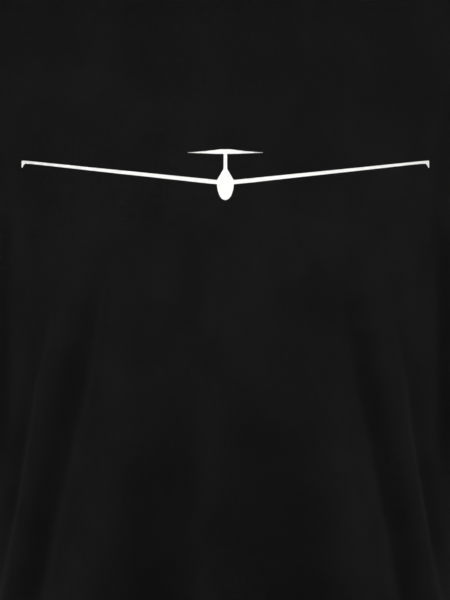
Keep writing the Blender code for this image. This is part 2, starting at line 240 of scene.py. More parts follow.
def herringbone(tree, apart, look):
    # twill lines that turn back on themselves across the tape
    zig = addNode(tree, "Math", {0: (apart, "Y"), 1: look["turn"]}, operation="PINGPONG")
    slant = addNode(tree, "Math", {0: (zig, "Value"), 1: 2 * math.pi / look["pitch"]}, operation="MULTIPLY")
    return wave(tree, (apart, "X"), look["pitch"], (slant, "Value"))


def plainWeave(tree, apart, look):
    warp, weft = (wave(tree, (apart, axis), look["pitch"]) for axis in "XY")
    return addNode(tree, "Math", {0: (warp, "Value"), 1: (weft, "Value")}, operation="MULTIPLY")


def speckledFinish(name, look, values):
    # two close tones mixed in small grains
    made, tree, shader = newFinish(name, look, values)
    place = addNode(tree, "TexCoord", {})
    values = {"Scale": look["grains"], "Detail": look["detail"], "Vector": (place, "Object")}
    grain = addNode(tree, "TexNoise", values)
    tones = {0: (grain, "Fac"), 6: linear(look["shade"]), 7: linear(look["dye"])}
    tone = addNode(tree, "Mix", tones, data_type="RGBA")
    tree.links.new(tone.outputs[2], shader.inputs["Base Color"])
    if "relief" in look:
        bump = addNode(tree, "Bump", {"Strength": 0.25, "Distance": look["relief"], "Height": (grain, "Fac")})
        tree.links.new(bump.outputs["Normal"], shader.inputs["Normal"])
    return made


def makeFinishes():
    made = {}
    for key, name, pattern in (
        # cotton knitted flat on one bed of needles: a soft matt black with fine upright columns
        ("jersey", "blackCottonSingleJersey", knitLoops),
        # cotton knitted on two beds: thicker, springy and the dullest of all
        ("rib", "blackCottonRibKnit", knitLoops),
        # narrow cotton twill, woven: crisper lines and a little more shine
        ("tape", "blackHerringboneTape", herringbone),
        # polyester ribbon, woven: smooth and grey, so it shows against the black
        ("label", "greyWovenSatinLabel", plainWeave),
    ):
        made[key] = clothFinish(name, finishes[key], pattern)
    # polyester fibres spun and twisted into sewing thread: smoother than the cloth, so it catches more light
    values = {"IOR": 1.57, "Specular IOR Level": 0.22, "Sheen Weight": 0.05}
    made["thread"] = speckledFinish("blackSpunPolyesterThread", finishes["thread"], values)
    # polyurethane film cut out and pressed on hot: smooth matt white, with the knit showing through faintly
    values = {"IOR": 1.50, "Specular IOR Level": 0.5}
    made["film"] = speckledFinish("whiteHeatPressedFilm", finishes["film"], values)
    # background paper from a roll: an even pale grey without shine
    values = {"Base Color": linear(finishes["floor"]["dye"])}
    made["floor"] = newFinish("paleStudioPaper", finishes["floor"], values)[0]
    return made


# The shirt's own shape: level sections and seam lines

shirt = {
    "bodyLength": 0.740,
    "shoulderHeight": -0.055,
    "underarmHeight": -0.280,
    "armholeHalfWidth": 0.062,
    "neckHalfWidth": 0.088,
    "neckFront": 0.093,
    "neckBack": 0.062,
    "neckFrontPower": 2.6,
    "neckBackPower": 2.1,
    "sleeveLength": 0.213,
    "sleeveFall": math.radians(43),
    "cuffAngle": math.radians(34),
    "cutFall": math.radians(28),  # as the sleeve was cut, before it hangs
    "cutCuffAngle": math.radians(58),
    "cuffHalfHeight": 0.066,
    "cuffHalfDepth": 0.060,
    "cuffForward": 0.006,
    "cloth": 0.0008,
    "hemDepth": 0.022,
}
shirtForm = np.array(
    [
        # height, half width, front, back, power of the rounded oblong
        (0.06, 0.02, 0.02, 0.02, 2.0),
        (0.03, 0.035, 0.038, 0.036, 2.0),
        (0.0, 0.088, 0.05, 0.058, 2.0),
        (-0.02, 0.14, 0.061, 0.075, 2.0),
        (-0.055, 0.232, 0.08, 0.096, 2.06),
        (-0.1, 0.237, 0.098, 0.109, 2.22),
        (-0.18, 0.221, 0.12, 0.117, 2.48),
        (-0.28, 0.207, 0.132, 0.118, 2.57),
        (-0.4, 0.204, 0.127, 0.113, 2.53),
        (-0.56, 0.21, 0.126, 0.114, 2.4),
        (-0.76, 0.219, 0.13, 0.121, 2.29),
    ]
)[::-1]
standForm = np.array(
    [
        # the stand that fills the shirt while it settles
        (0.15, 0.055, 0.05, 0.055, 2.0),
        (0.06, 0.057, 0.052, 0.056, 2.0),
        (0.01, 0.064, 0.056, 0.06, 2.0),
        (-0.012, 0.09, 0.06, 0.064, 2.0),
        (-0.03, 0.135, 0.064, 0.074, 2.0),
        (-0.065, 0.2, 0.08, 0.092, 2.0),
        (-0.11, 0.205, 0.096, 0.102, 2.1),
        (-0.18, 0.194, 0.113, 0.108, 2.3),
        (-0.25, 0.186, 0.12, 0.108, 2.4),
        (-0.33, 0.176, 0.108, 0.1, 2.4),
        (-0.45, 0.166, 0.098, 0.092, 2.3),
        (-0.56, 0.174, 0.102, 0.1, 2.3),
        (-0.68, 0.184, 0.104, 0.112, 2.3),
        (-0.86, 0.18, 0.1, 0.108, 2.3),
    ]
)[::-1]
weave = {
    # points of the settling cloth, about 9 mm apart
    "sideRows": 48,
    "armholeRows": 27,
    "shoulderColumns": 15,
    "neckFrontColumns": 30,
    "neckBackColumns": 22,
    "sleeveRows": 22,
    "rounds": 160,  # of evening out the spacing
    "finePoints": 400,  # along a seam line before it is divided
    "fineStep": 0.4,  # of that spacing, for the finished cloth
}
mirror = np.array([-1.0, 1.0, 1.0])


def smoothStep(value):
    value = np.clip(value, 0, 1)
    return value * value * (3 - 2 * value)


def sectionAt(form, height):
    heights = form[:, 0]
    slopes = np.gradient(form, heights, axis=0)
    height = np.asarray(height, dtype=float)
    k = np.clip(np.searchsorted(heights, height) - 1, 0, len(heights) - 2)
    step = heights[k + 1] - heights[k]
    t = np.clip((height - heights[k]) / step, 0.0, 1.0)[..., None]
    s = step[..., None]
    low = (2 * t**3 - 3 * t**2 + 1) * form[k] + (t**3 - 2 * t**2 + t) * s * slopes[k]
    high = (3 * t**2 - 2 * t**3) * form[k + 1] + (t**3 - t**2) * s * slopes[k + 1]
    return np.moveaxis((low + high)[..., 1:], -1, 0)


def outside(points):
    halfWidth, front, back, power = sectionAt(shirtForm, points[..., 2])
    depth = np.where(points[..., 1] < 0, front, back)
    across = (np.abs(points[..., 0]) / halfWidth) ** power + (np.abs(points[..., 1]) / depth) ** power
    return across ** (1 / power) - 1


def outsideSlope(points):
    small = 1e-4
    slope = np.zeros_like(points)
    for k in range(3):
        step = np.zeros(3)
        step[k] = small
        slope[..., k] = (outside(points + step) - outside(points - step)) / (2 * small)
    return slope


def settle(points, steps):
    for _ in range(steps):
        slope = outsideSlope(points)
        points = points - (outside(points) / np.maximum((slope**2).sum(-1), 1e-9))[..., None] * slope
    return points


def unit(vectors):
    return vectors / np.maximum(np.linalg.norm(vectors, axis=-1, keepdims=True), 1e-12)


def runLength(points):
    return np.concatenate([[0], np.cumsum(np.linalg.norm(np.diff(points, axis=0), axis=1))])


def evenly(points, count, read=None):
    # even steps along a line; read is another line that is read at the same places instead
    run = runLength(points)
    at, read = np.linspace(0, run[-1], count), points if read is None else read
    return np.stack([np.interp(at, run, read[:, k]) for k in range(3)], axis=1)


def oblong(turned, power):
    return np.sign(turned) * np.abs(turned) ** (2 / power)


def sideLine(heights):
    halfWidth = sectionAt(shirtForm, heights)[0]
    return np.stack([halfWidth, np.zeros_like(halfWidth), heights], axis=1)


def armholeLine(angles):
    top, low = shirt["shoulderHeight"], shirt["underarmHeight"]
    y = -shirt["armholeHalfWidth"] * np.sin(angles)
    z = (top + low) / 2 + (top - low) / 2 * np.cos(angles)
    halfWidth, front, back, power = sectionAt(shirtForm, z)
    depth = np.where(y < 0, front, back)
    x = halfWidth * (1 - (np.abs(y) / depth) ** power) ** (1 / power)
    return np.stack([x, y, z], axis=1)


def neckPlan(angles, grow=0.0):
    ahead = np.cos(angles) >= 0
    power = np.where(ahead, shirt["neckFrontPower"], shirt["neckBackPower"])
    depth = np.where(ahead, shirt["neckFront"], shirt["neckBack"]) + grow
    halfWidth = shirt["neckHalfWidth"] + grow
    return halfWidth * oblong(np.sin(angles), power), -depth * oblong(np.cos(angles), power)


def neckLine(angles):
    # where the shirt's surface is straight above the plan
    x, y = neckPlan(angles)
    low, high = np.full_like(x, -0.14), np.full_like(x, 0.012)
    for _ in range(50):
        middle = (low + high) / 2
        within = outside(np.stack([x, y, middle], axis=1)) < 0
        low, high = np.where(within, middle, low), np.where(within, high, middle)
    return np.stack([x, y, (low + high) / 2], axis=1)


def panelGrid(ahead):
    # rows from the hem to the shoulders, columns from the shirt's right to its left, or left to right behind
    fine = np.linspace(0, 1, weave["finePoints"])
    side = sideLine(-shirt["bodyLength"] + fine * (shirt["underarmHeight"] + shirt["bodyLength"]))
    arm = armholeLine(math.pi * (1 - fine) if ahead else math.pi * (1 + fine))
    edge = np.concatenate([evenly(side, weave["sideRows"] + 1), evenly(arm, weave["armholeRows"] + 1)[1:]])
    shoulder = evenly(sideLine(shirt["shoulderHeight"] * (1 - fine)), weave["shoulderColumns"] + 1)
    turn = -1 if ahead else 1
    neckCount = weave["neckFrontColumns" if ahead else "neckBackColumns"] + 1
    around = evenly(neckLine(math.pi / 2 * (1 + turn * fine * 2)), neckCount)
    top = np.concatenate([shoulder, around[1:], (shoulder * mirror)[::-1][1:]])
    turns = np.linspace(math.pi / 2, -math.pi / 2, len(fine))
    halfWidth, front, back, power = sectionAt(shirtForm, -shirt["bodyLength"])
    depth = front if ahead else back
    hemX, hemY = halfWidth * oblong(np.sin(turns), power), turn * depth * oblong(np.cos(turns), power)
    bottom = evenly(np.stack([hemX, hemY, np.full_like(fine, -shirt["bodyLength"])], axis=1), len(top))
    u = np.linspace(0, 1, len(top))[None, :, None]
    v = np.linspace(0, 1, len(edge))[:, None, None]
    corners = (1 - u) * (1 - v) * bottom[0] + u * (1 - v) * bottom[-1] + (1 - u) * v * top[0] + u * v * top[-1]
    grid = (1 - v) * bottom[None] + v * top[None] + (1 - u) * edge[:, None]
    grid = grid + u * (edge * mirror)[:, None] - corners
    inner = (slice(1, -1), slice(1, -1))
    grid[inner][..., 1] += turn * 0.02
    grid[inner] = settle(grid[inner], 6)
    for k in range(weave["rounds"]):
        middle = (grid[:-2, 1:-1] + grid[2:, 1:-1] + grid[1:-1, :-2] + grid[1:-1, 2:]) / 4
        grid[inner] += 0.9 * (middle - grid[inner])
        if k % 4 == 3:
            grid[inner] = settle(grid[inner], 1)
    grid[inner] = settle(grid[inner], 3)
    return grid[:, ::-1] if ahead else grid


def sleeveGrid(cuffAngle, fall):
    # rings from the armhole to the opening; columns run from the shoulder forwards, under and back
    axis = np.array([math.sin(cuffAngle), 0, -math.cos(cuffAngle)])
    across = np.array([math.cos(cuffAngle), 0, math.sin(cuffAngle)])
    fine, count = np.linspace(0, 1, weave["finePoints"]), weave["armholeRows"]
    ahead = evenly(armholeLine(math.pi * fine), count + 1)
    behind = evenly(armholeLine(math.pi * (1 + fine)), count + 1)
    ring = np.concatenate([ahead, behind[1:-1]])
    angles = np.arange(2 * count) * math.pi / count
    middle = ring[0] + shirt["sleeveLength"] * np.array([math.cos(fall), 0, -math.sin(fall)])
    middle = middle - shirt["cuffHalfHeight"] * across - np.array([0, shirt["cuffForward"], 0])
    end = middle + shirt["cuffHalfHeight"] * np.cos(angles)[:, None] * across
    end[:, 1] -= shirt["cuffHalfDepth"] * np.sin(angles)
    reach = np.linalg.norm(end - ring, axis=1)[:, None]
    below = (1 - np.cos(angles)) / 2
    leave = np.stack([np.ones_like(angles), -0.10 * np.sin(angles), -0.45 + 0.85 * below], axis=1)
    leave *= 0.9 * reach / np.linalg.norm(leave, axis=1)[:, None]
    t = np.linspace(0, 1, weave["sleeveRows"] + 1)[:, None, None]
    return (
        (2 * t**3 - 3 * t**2 + 1) * ring
        + (t**3 - 2 * t**2 + t) * leave
        + (3 * t**2 - 2 * t**3) * end
        + (t**3 - t**2) * axis * reach
    )


def sewShirt():
    # one net of points for the simulation, shared along every seam, as it is worn and as it was cut
    front, back = panelGrid(True), panelGrid(False)
    sleeve = sleeveGrid(shirt["cuffAngle"], shirt["sleeveFall"])
    sleeveCut = sleeveGrid(shirt["cutCuffAngle"], shirt["cutFall"])
    points, cut = [], []

    def number(worn, asCut, shared=None):
        ids = np.full(worn.shape[:2], -1) if shared is None else shared.copy()
        fresh = ids < 0
        ids[fresh] = len(points) + np.arange(fresh.sum())
        points.extend(worn[fresh])
        cut.extend(asCut[fresh])
        return ids

    side, shoulder = weave["sideRows"], weave["shoulderColumns"]
    ids = {"front": number(front, front)}
    shared = np.full(back.shape[:2], -1)
    shared[: side + 1, 0] = ids["front"][: side + 1, -1]
    shared[: side + 1, -1] = ids["front"][: side + 1, 0]
    shared[-1, : shoulder + 1] = ids["front"][-1, ::-1][: shoulder + 1]
    shared[-1, -shoulder - 1 :] = ids["front"][-1, : shoulder + 1][::-1]
    ids["back"] = number(back, back, shared)
    for name, edge, far, flip in (("left", -1, 0, np.ones(3)), ("right", 0, -1, mirror)):
        shared = np.full(sleeve.shape[:2], -1)
        shared[0] = np.concatenate([ids["front"][side:, edge][::-1], ids["back"][side + 1 : -1, far]])
        ids[name] = number(sleeve * flip, sleeveCut * flip, shared)
    return ids, np.array(points), np.array(cut)


def quads(ids, around=False, flip=False):
    beside = np.roll(ids, -1, axis=1)
    found = np.stack([ids[:-1], beside[:-1], beside[1:], ids[1:]], axis=-1)
    found = (found if around else found[:, :-1]).reshape(-1, 4)
    return found[:, ::-1] if flip else found


def meshObject(name, points, faces):
    mesh = bpy.data.meshes.new(name)
    mesh.from_pydata([tuple(p) for p in points], [], [tuple(int(i) for i in f) for f in faces])
    return addToScene(name, mesh)


def pointsOf(mesh):
    places = np.zeros(len(mesh.vertices) * 3, dtype=np.float32)
    mesh.vertices.foreach_get("co", places)
    return places.reshape(-1, 3).astype(float)


def faceOutward(thing):
    shape = bmesh.new()
    shape.from_mesh(thing.data)
    bmesh.ops.recalc_face_normals(shape, faces=shape.faces[:])
    shape.to_mesh(thing.data)
    shape.free()


def ringTube(rings):
    # closed tube through rings of points, with a face at each end
    count = rings.shape[1]
    ids = np.arange(rings.shape[0] * count).reshape(rings.shape[:2])
    faces = [tuple(f) for f in quads(ids, around=True)]
    return rings.reshape(-1, 3), faces + [tuple(ids[0][::-1]), tuple(ids[-1])]


stand = {
    "shoulderJoint": (0.186, 0.004, -0.094),
    "armAngle": math.radians(45),
    "armLength": 0.36,
    "shoulderRadius": 0.056,
    "elbowRadius": 0.045,
    "voxel": 0.012,
    "smoothing": (0.5, 12),
    "collision": {"thickness_outer": 0.003, "thickness_inner": 0.02, "cloth_friction": 12},
}


def makeStand():
    # trunk, neck and upper arms, melted together and smoothed
    turns = np.linspace(0, 2 * math.pi, 72, endpoint=False)
    heights = np.arange(-0.86, 0.15, 0.01)
    halfWidth, front, back, power = (part[:, None] for part in sectionAt(standForm, heights))
    depth = np.where(np.cos(turns) > 0, front, back)
    rings = np.stack(
        [
            halfWidth * oblong(np.sin(turns), power),
            -depth * oblong(np.cos(turns), power),
            np.broadcast_to(heights[:, None], depth.shape),
        ],
        axis=-1,
    )
    parts = [meshObject("standTrunk", *ringTube(rings))]
    start = np.array(stand["shoulderJoint"])
    along = np.array([math.sin(stand["armAngle"]), -0.02, -math.cos(stand["armAngle"])])
    level = np.cross(along, [0, 1, 0])
    level /= np.linalg.norm(level)
    other = np.cross(along, level)
    cap, wide, narrow = np.linspace(0.1, 0.9, 9) * math.pi / 2, stand["shoulderRadius"], stand["elbowRadius"]
    places = np.concatenate([-wide * np.cos(cap), np.linspace(0, stand["armLength"], 21)])
    radii = np.concatenate([wide * np.sin(cap), np.linspace(wide, narrow, 21)])
    turns = np.linspace(0, 2 * math.pi, 40, endpoint=False)[None, :, None]
    rings = start + places[:, None, None] * along
    rings = rings + radii[:, None, None] * (np.cos(turns) * level + np.sin(turns) * other)
    for name, flip in (("standLeftArm", np.ones(3)), ("standRightArm", mirror)):
        parts.append(meshObject(name, *ringTube(rings * flip)))
    bpy.ops.object.select_all(action="DESELECT")
    for part in parts:
        faceOutward(part)
        part.select_set(True)
    bpy.context.view_layer.objects.active = parts[0]
    bpy.ops.object.join()
    body = parts[0]
    melt = body.modifiers.new("melt", "REMESH")
    melt.mode, melt.voxel_size = "VOXEL", stand["voxel"]
    bpy.ops.object.modifier_apply(modifier="melt")
    ease = body.modifiers.new("ease", "SMOOTH")
    ease.factor, ease.iterations = stand["smoothing"]
    bpy.ops.object.modifier_apply(modifier="ease")
    body.modifiers.new("collide", "COLLISION")
    for key, value in stand["collision"].items():
        setattr(body.collision, key, value)
    return body


drape = {
    "frames": 34,
    "ease": 0.022,  # how much wider the cloth was cut than it hangs, below the chest
    # a slightly uneven start: metres, waves round the shirt, turn
    "uneven": [(0.0016, 3, 0.4), (0.0012, 5, 1.7), (0.0010, 8, 0.9), (0.0008, 13, 2.6)],
    "cloth": {
        "quality": 5,
        "mass": 0.05,
        "air_damping": 3.0,
        "tension_stiffness": 30.0,
        "compression_stiffness": 30.0,
        "shear_stiffness": 12.0,
        "bending_stiffness": 0.06,
        "tension_damping": 12,
        "compression_damping": 12,
        "shear_damping": 8,
        "bending_damping": 0.6,
        "pin_stiffness": 1.0,
    },
    "collision": {"use_collision": True, "distance_min": 0.003, "collision_quality": 2},
    "smoothing": (3, 0.35),
}


def settleCloth(ids, points, cut):
    # the shirt settles on the stand; seam lines stay shared, so the panels still meet afterwards
    faces = [quads(ids["front"]), quads(ids["back"]), quads(ids["left"], True)]
    faces = np.concatenate(faces + [quads(ids["right"], True, True)])
    trunk = np.unique(np.concatenate([ids["front"].ravel(), ids["back"].ravel()]))
    drop = smoothStep((-0.12 - points[:, 2]) / 0.25)
    asCut = cut.copy()
    asCut[trunk, :2] *= 1 + drape["ease"] * drop[trunk, None]
    turn = np.arctan2(points[:, 0], -points[:, 1])
    uneven = sum(a * np.sin(k * turn + p) for a, k, p in drape["uneven"])
    away = unit(points * np.array([1, 1, 0]))
    begin = points + away * (uneven * np.clip((-0.15 - points[:, 2]) / 0.3, 0, 1))[:, None]
    body = makeStand()
    cloth = meshObject("settlingShirt", begin, faces)
    cloth.shape_key_add(name="Basis")
    key = cloth.shape_key_add(name="cut")
    key.data.foreach_set("co", asCut.astype(np.float32).ravel())
    pinned = cloth.vertex_groups.new(name="neckline")
    shoulder = weave["shoulderColumns"]
    held = set()
    for name in ("front", "back"):
        row = ids[name][-1]
        held |= set(int(i) for i in row[shoulder : len(row) - shoulder])
    pinned.add(sorted(held), 1.0, "REPLACE")
    modifier = cloth.modifiers.new("cloth", "CLOTH")
    for settings, values in ((modifier.settings, "cloth"), (modifier.collision_settings, "collision")):
        for name, value in drape[values].items():
            setattr(settings, name, value)
    modifier.settings.vertex_group_mass = "neckline"
    modifier.settings.rest_shape_key = key
    modifier.point_cache.frame_start, modifier.point_cache.frame_end = 1, drape["frames"]
    scene = bpy.context.scene
    for number in range(1, drape["frames"] + 1):
        scene.frame_set(number)
    shape = cloth.evaluated_get(bpy.context.evaluated_depsgraph_get()).data
    settled = pointsOf(shape)
    for thing in (cloth, body):
        bpy.data.objects.remove(thing, do_unlink=True)
    scene.frame_set(1)
    edges = np.concatenate([faces[:, [k, (k + 1) % 4]] for k in range(4)])
    edges = np.unique(np.sort(edges, axis=1), axis=0)
    free = np.ones(len(settled), dtype=bool)
    free[sorted(held)] = False
    rounds, share = drape["smoothing"]
    for _ in range(rounds):  # takes out the small ripples of single points
        total, count = np.zeros_like(settled), np.zeros(len(settled))
        for a, b in ((0, 1), (1, 0)):
            np.add.at(total, edges[:, a], settled[edges[:, b]])
            np.add.at(count, edges[:, a], 1)
        settled[free] += share * (total / count[:, None] - settled)[free]
    stage(f"cloth settled, {len(settled)} points")
    return settled


# Turning a grid of settled points into cloth with thickness


def sampleGrid(grid, rows, columns, around=False):
    # the smooth surface through the grid, read at fractional rows and columns
    for axis in (0, 1):
        grid = np.swapaxes(grid, 0, axis)
        before, after = 2 * grid[:1] - grid[1:2], 2 * grid[-1:] - grid[-2:-1]
        if around and axis == 1:
            before, after = grid[-1:], grid[:2]
        grid = np.swapaxes(np.concatenate([before, grid, after]), 0, axis)
    i = np.clip(np.floor(rows).astype(int), 0, grid.shape[0] - 4)
    j = np.clip(np.floor(columns).astype(int), 0, grid.shape[1] - 4)

    def weights(t):
        first, second = (-t + 2 * t**2 - t**3) / 2, (2 - 5 * t**2 + 3 * t**3) / 2
        return first, second, (t + 4 * t**2 - 3 * t**3) / 2, (t**3 - t**2) / 2

    downWeights, acrossWeights = weights(rows - i), weights(columns - j)
    out = np.zeros(rows.shape + (3,))
    for a in range(4):
        for b in range(4):
            out += (downWeights[a] * acrossWeights[b])[..., None] * grid[i + a, j + b]
    return out


def lengths(grid, axis):
    # distance of each point from the first row or column
    steps = np.linalg.norm(np.diff(grid, axis=axis), axis=2)
    first = np.zeros_like(np.take(steps, [0], axis=axis))
    return np.cumsum(np.concatenate([first, steps], axis=axis), axis=axis)


def finePlaces(grid, startGaps, endGaps):
    # fractional rows for each column: close together at both ends, evenly apart between
    size = grid.shape[0] - 1
    first = np.linalg.norm(grid[1] - grid[0], axis=1)
    last = np.linalg.norm(grid[-1] - grid[-2], axis=1)
    start = np.minimum(np.array(startGaps)[:, None] / first, size * 0.4)
    end = size - np.minimum(np.array(endGaps)[::-1, None] / last, size * 0.3)
    count = max(2, int(round(size / weave["fineStep"])))
    t = np.linspace(0, 1, count + 1)[1:-1, None]
    return np.concatenate([start, start[-1] + t * (end[0] - start[-1]), end])


def surfaceNormals(grid, around=False):
    # outward directions; on a ring they point away from its middle
    across = np.roll(grid, -1, axis=1) - np.roll(grid, 1, axis=1) if around else np.gradient(grid, axis=1)
    normal = unit(np.cross(across, np.gradient(grid, axis=0)))
    if around and (normal * (grid - grid.mean(axis=1, keepdims=True))).sum() < 0:
        normal = -normal
    return normal


def clothMesh(name, points, faces, spots, finish, wraps=(False, False)):
    # spots are each point's place on the flat cloth, in metres; wraps says which way they close on themselves
    a, b, c, d = (points[faces[:, k]] for k in range(4))
    if (np.cross(b - a, c - a) * a).sum() + (np.cross(c - a, d - a) * a).sum() < 0:
        faces = faces[:, ::-1]
    thing = meshObject(name, points, faces)
    corner = spots[faces]
    for k in (0, 1):
        if wraps[k]:
            width = np.ptp(spots[:, k])
            wide = corner[..., k].max(axis=1) - corner[..., k].min(axis=1) > width / 2
            corner[..., k] += np.where(wide[:, None] & (corner[..., k] < width / 2), width, 0)
    layer = thing.data.uv_layers.new(name="cloth")
    layer.data.foreach_set("uv", corner.astype(np.float32).ravel())
    thing.data.materials.append(finish)
    thing.data.shade_smooth()
    return thing


def paintedLightAndShade(outer, normal, around=False):
    # how far each place stands out from its surroundings, in centimetres, used as painted light on raised
    # places and painted shade in the hollows
    reach = 9
    wide = 2 * reach + 1
    smooth = outer
    for axis in (0, 0, 1, 1):
        pad = [(reach, reach) if k == axis else (0, 0) for k in range(3)]
        run = np.cumsum(np.pad(smooth, pad, mode="wrap" if around and axis == 1 else "edge"), axis=axis)
        run = np.concatenate([np.zeros_like(np.take(run, [0], axis=axis)), run], axis=axis)
        size = smooth.shape[axis]
        before, after = (np.take(run, range(k, size + k), axis=axis) for k in (0, wide))
        smooth = (after - before) / wide
    proud = ((outer - smooth) * normal).sum(axis=2) * 100
    return np.clip(proud - np.median(proud), -1, 1)


def closedShell(name, outer, inner, finish, around=False, firstEdge=0.0002, cells=None, fading=None):
    # outer and inner grids joined by rounded edges
    lastEdge = 0.0002
    rows, columns = outer.shape[:2]
    ids = np.arange(rows * columns).reshape(rows, columns)
    under = ids + rows * columns
    faces = [quads(ids, around), quads(under, around, flip=True)]
    if around:
        loops = [(ids[0], ids[1], firstEdge), (ids[-1], ids[-2], lastEdge)]
    else:
        rim = np.concatenate([ids[0], ids[1:, -1], ids[-1, ::-1][1:], ids[::-1, 0][1:-1]])
        nextIn = np.concatenate([ids[1], ids[1:, -2], ids[-2, ::-1][1:], ids[::-1, 1][1:-1]])
        loops = [(rim, nextIn, np.where(rim < columns, firstEdge, lastEdge)[:, None])]
    high, low = outer.reshape(-1, 3), inner.reshape(-1, 3)
    spots = np.stack([lengths(outer, 1), lengths(outer, 0)], axis=-1) if cells is None else cells
    spots = spots.reshape(-1, 2)
    points, places = [high, low], [spots, spots]
    made = 2 * rows * columns
    for k, (loop, nextIn, amount) in enumerate(loops):
        points.append((high[loop] + low[loop]) / 2 + amount * unit(high[loop] - high[nextIn]))
        places.append(spots[loop])
        strip = np.stack([loop, np.arange(len(loop)) + made, loop + rows * columns])
        made += len(loop)
        faces.append(quads(strip, around=True, flip=(k == 0)))
    points, faces, places = (np.concatenate(part) for part in (points, faces, places))
    thing = clothMesh(name, points, faces, places, finish, (around, False))
    if fading is not None:
        # painted light and shade, kept on the outer and inner points for the cloth's colour
        spread = np.zeros(len(thing.data.vertices), dtype=np.float32)
        spread[: 2 * rows * columns] = np.tile(fading.ravel(), 2)
        thing.data.attributes.new("paintedLightAndShade", "FLOAT", "POINT").data.foreach_set("value", spread)
    stage(f"{name}: {len(thing.data.polygons)} faces")
    return thing


def ripple(distance, lengthAlong, size, seed):
    # small uneven puckers along a seam, dying out away from it
    rng = np.random.default_rng(seed)
    total = np.zeros_like(lengthAlong)
    for period in pucker["periods"]:
        total += np.sin(2 * math.pi * lengthAlong / period + rng.uniform(0, 6.3)) * rng.uniform(0.5, 1.0)
    return size * total / 2 * np.exp(-distance / pucker["reach"])


stitchRows = (0.0136, 0.0200)  # needle lines above the edge of a hem
stitchValley = {"depth": 0.00042, "width": 0.0008}
hem = {
    "rise": 0.00025,  # its step above the single cloth
    "stepAt": (0.0215, 0.0015),  # where that starts and how wide it is
    "roping": 0.00030,  # slight twisting along the hem, and where it fades
    "ropingEnd": (0.018, 0.012),
    "ropes": ((0.8, 0.021), (-0.5, 0.034)),  # lean and period of each
    "edge": 0.0008,  # how far the fold is rounded
}
pucker = {
    "seamDip": 0.0008,
    "dipWidth": 0.0013,
    "panel": 0.00045,
    "sleeve": 0.00040,
    "reach": 0.0085,
    "periods": (0.0165, 0.0215, 0.029, 0.041),
}
seamGaps = [0, 0.0008, 0.0018, 0.0034]
hemGaps = [0, 0.0012, 0.0035, 0.0065, 0.0095, 0.0120, 0.0129, 0.0136, 0.0143, 0.0152, 0.0168, 0.0184]
hemGaps += [0.0193, 0.0200, 0.0207, 0.0216, 0.0221, 0.0226, 0.0245, 0.0280]


def hemHeight(distance, along, seed):
    # two layers pressed together, a valley under each row of stitches and slight twisting between them
    (start, step), (end, fade) = hem["stepAt"], hem["ropingEnd"]
    height = hem["rise"] * (1 - smoothStep((distance - start) / step))
    for line in stitchRows:
        height = height - stitchValley["depth"] * np.exp(-(((distance - line) / stitchValley["width"]) ** 2))
    rng = np.random.default_rng(seed)
    roping = 0
    for lean, period in hem["ropes"]:
        roping = roping + np.sin(2 * math.pi * (along + lean * distance) / period + rng.uniform(0, 6)) * 0.5
    return height + hem["roping"] * roping * smoothStep(1 - (distance - end) / fade)


def puckered(height, seams, size, seed):
    # a dip at every seam and puckers beside it
    for k, (distance, run) in enumerate(seams):
        dip = pucker["seamDip"] * np.exp(-((distance / pucker["dipWidth"]) ** 2))
        height = height - dip + ripple(distance, run, size, seed + k + 1)
    return height


def clothFaces(base, height, along, around=False):
    # outer and inner faces and the outward directions; the hem is two layers thick
    outer = base + (shirt["cloth"] / 2 + height)[..., None] * surfaceNormals(base, around)
    normal = surfaceNormals(outer, around)
    layers = np.where(along < shirt["hemDepth"] + 0.0003, 2.1, 1.0)
    return outer, outer - (shirt["cloth"] * layers)[..., None] * normal, normal


def atPixel(spots):
    # places on the chest for points read off the photograph, straight across from the lens
    across, down, middle = photo["widthPixels"] / 2, photo["heightPixels"] / 2, photo["lensHeight"]
    return np.array([((u - across) * pixelSize, middle + (down - v) * pixelSize) for u, v in spots])


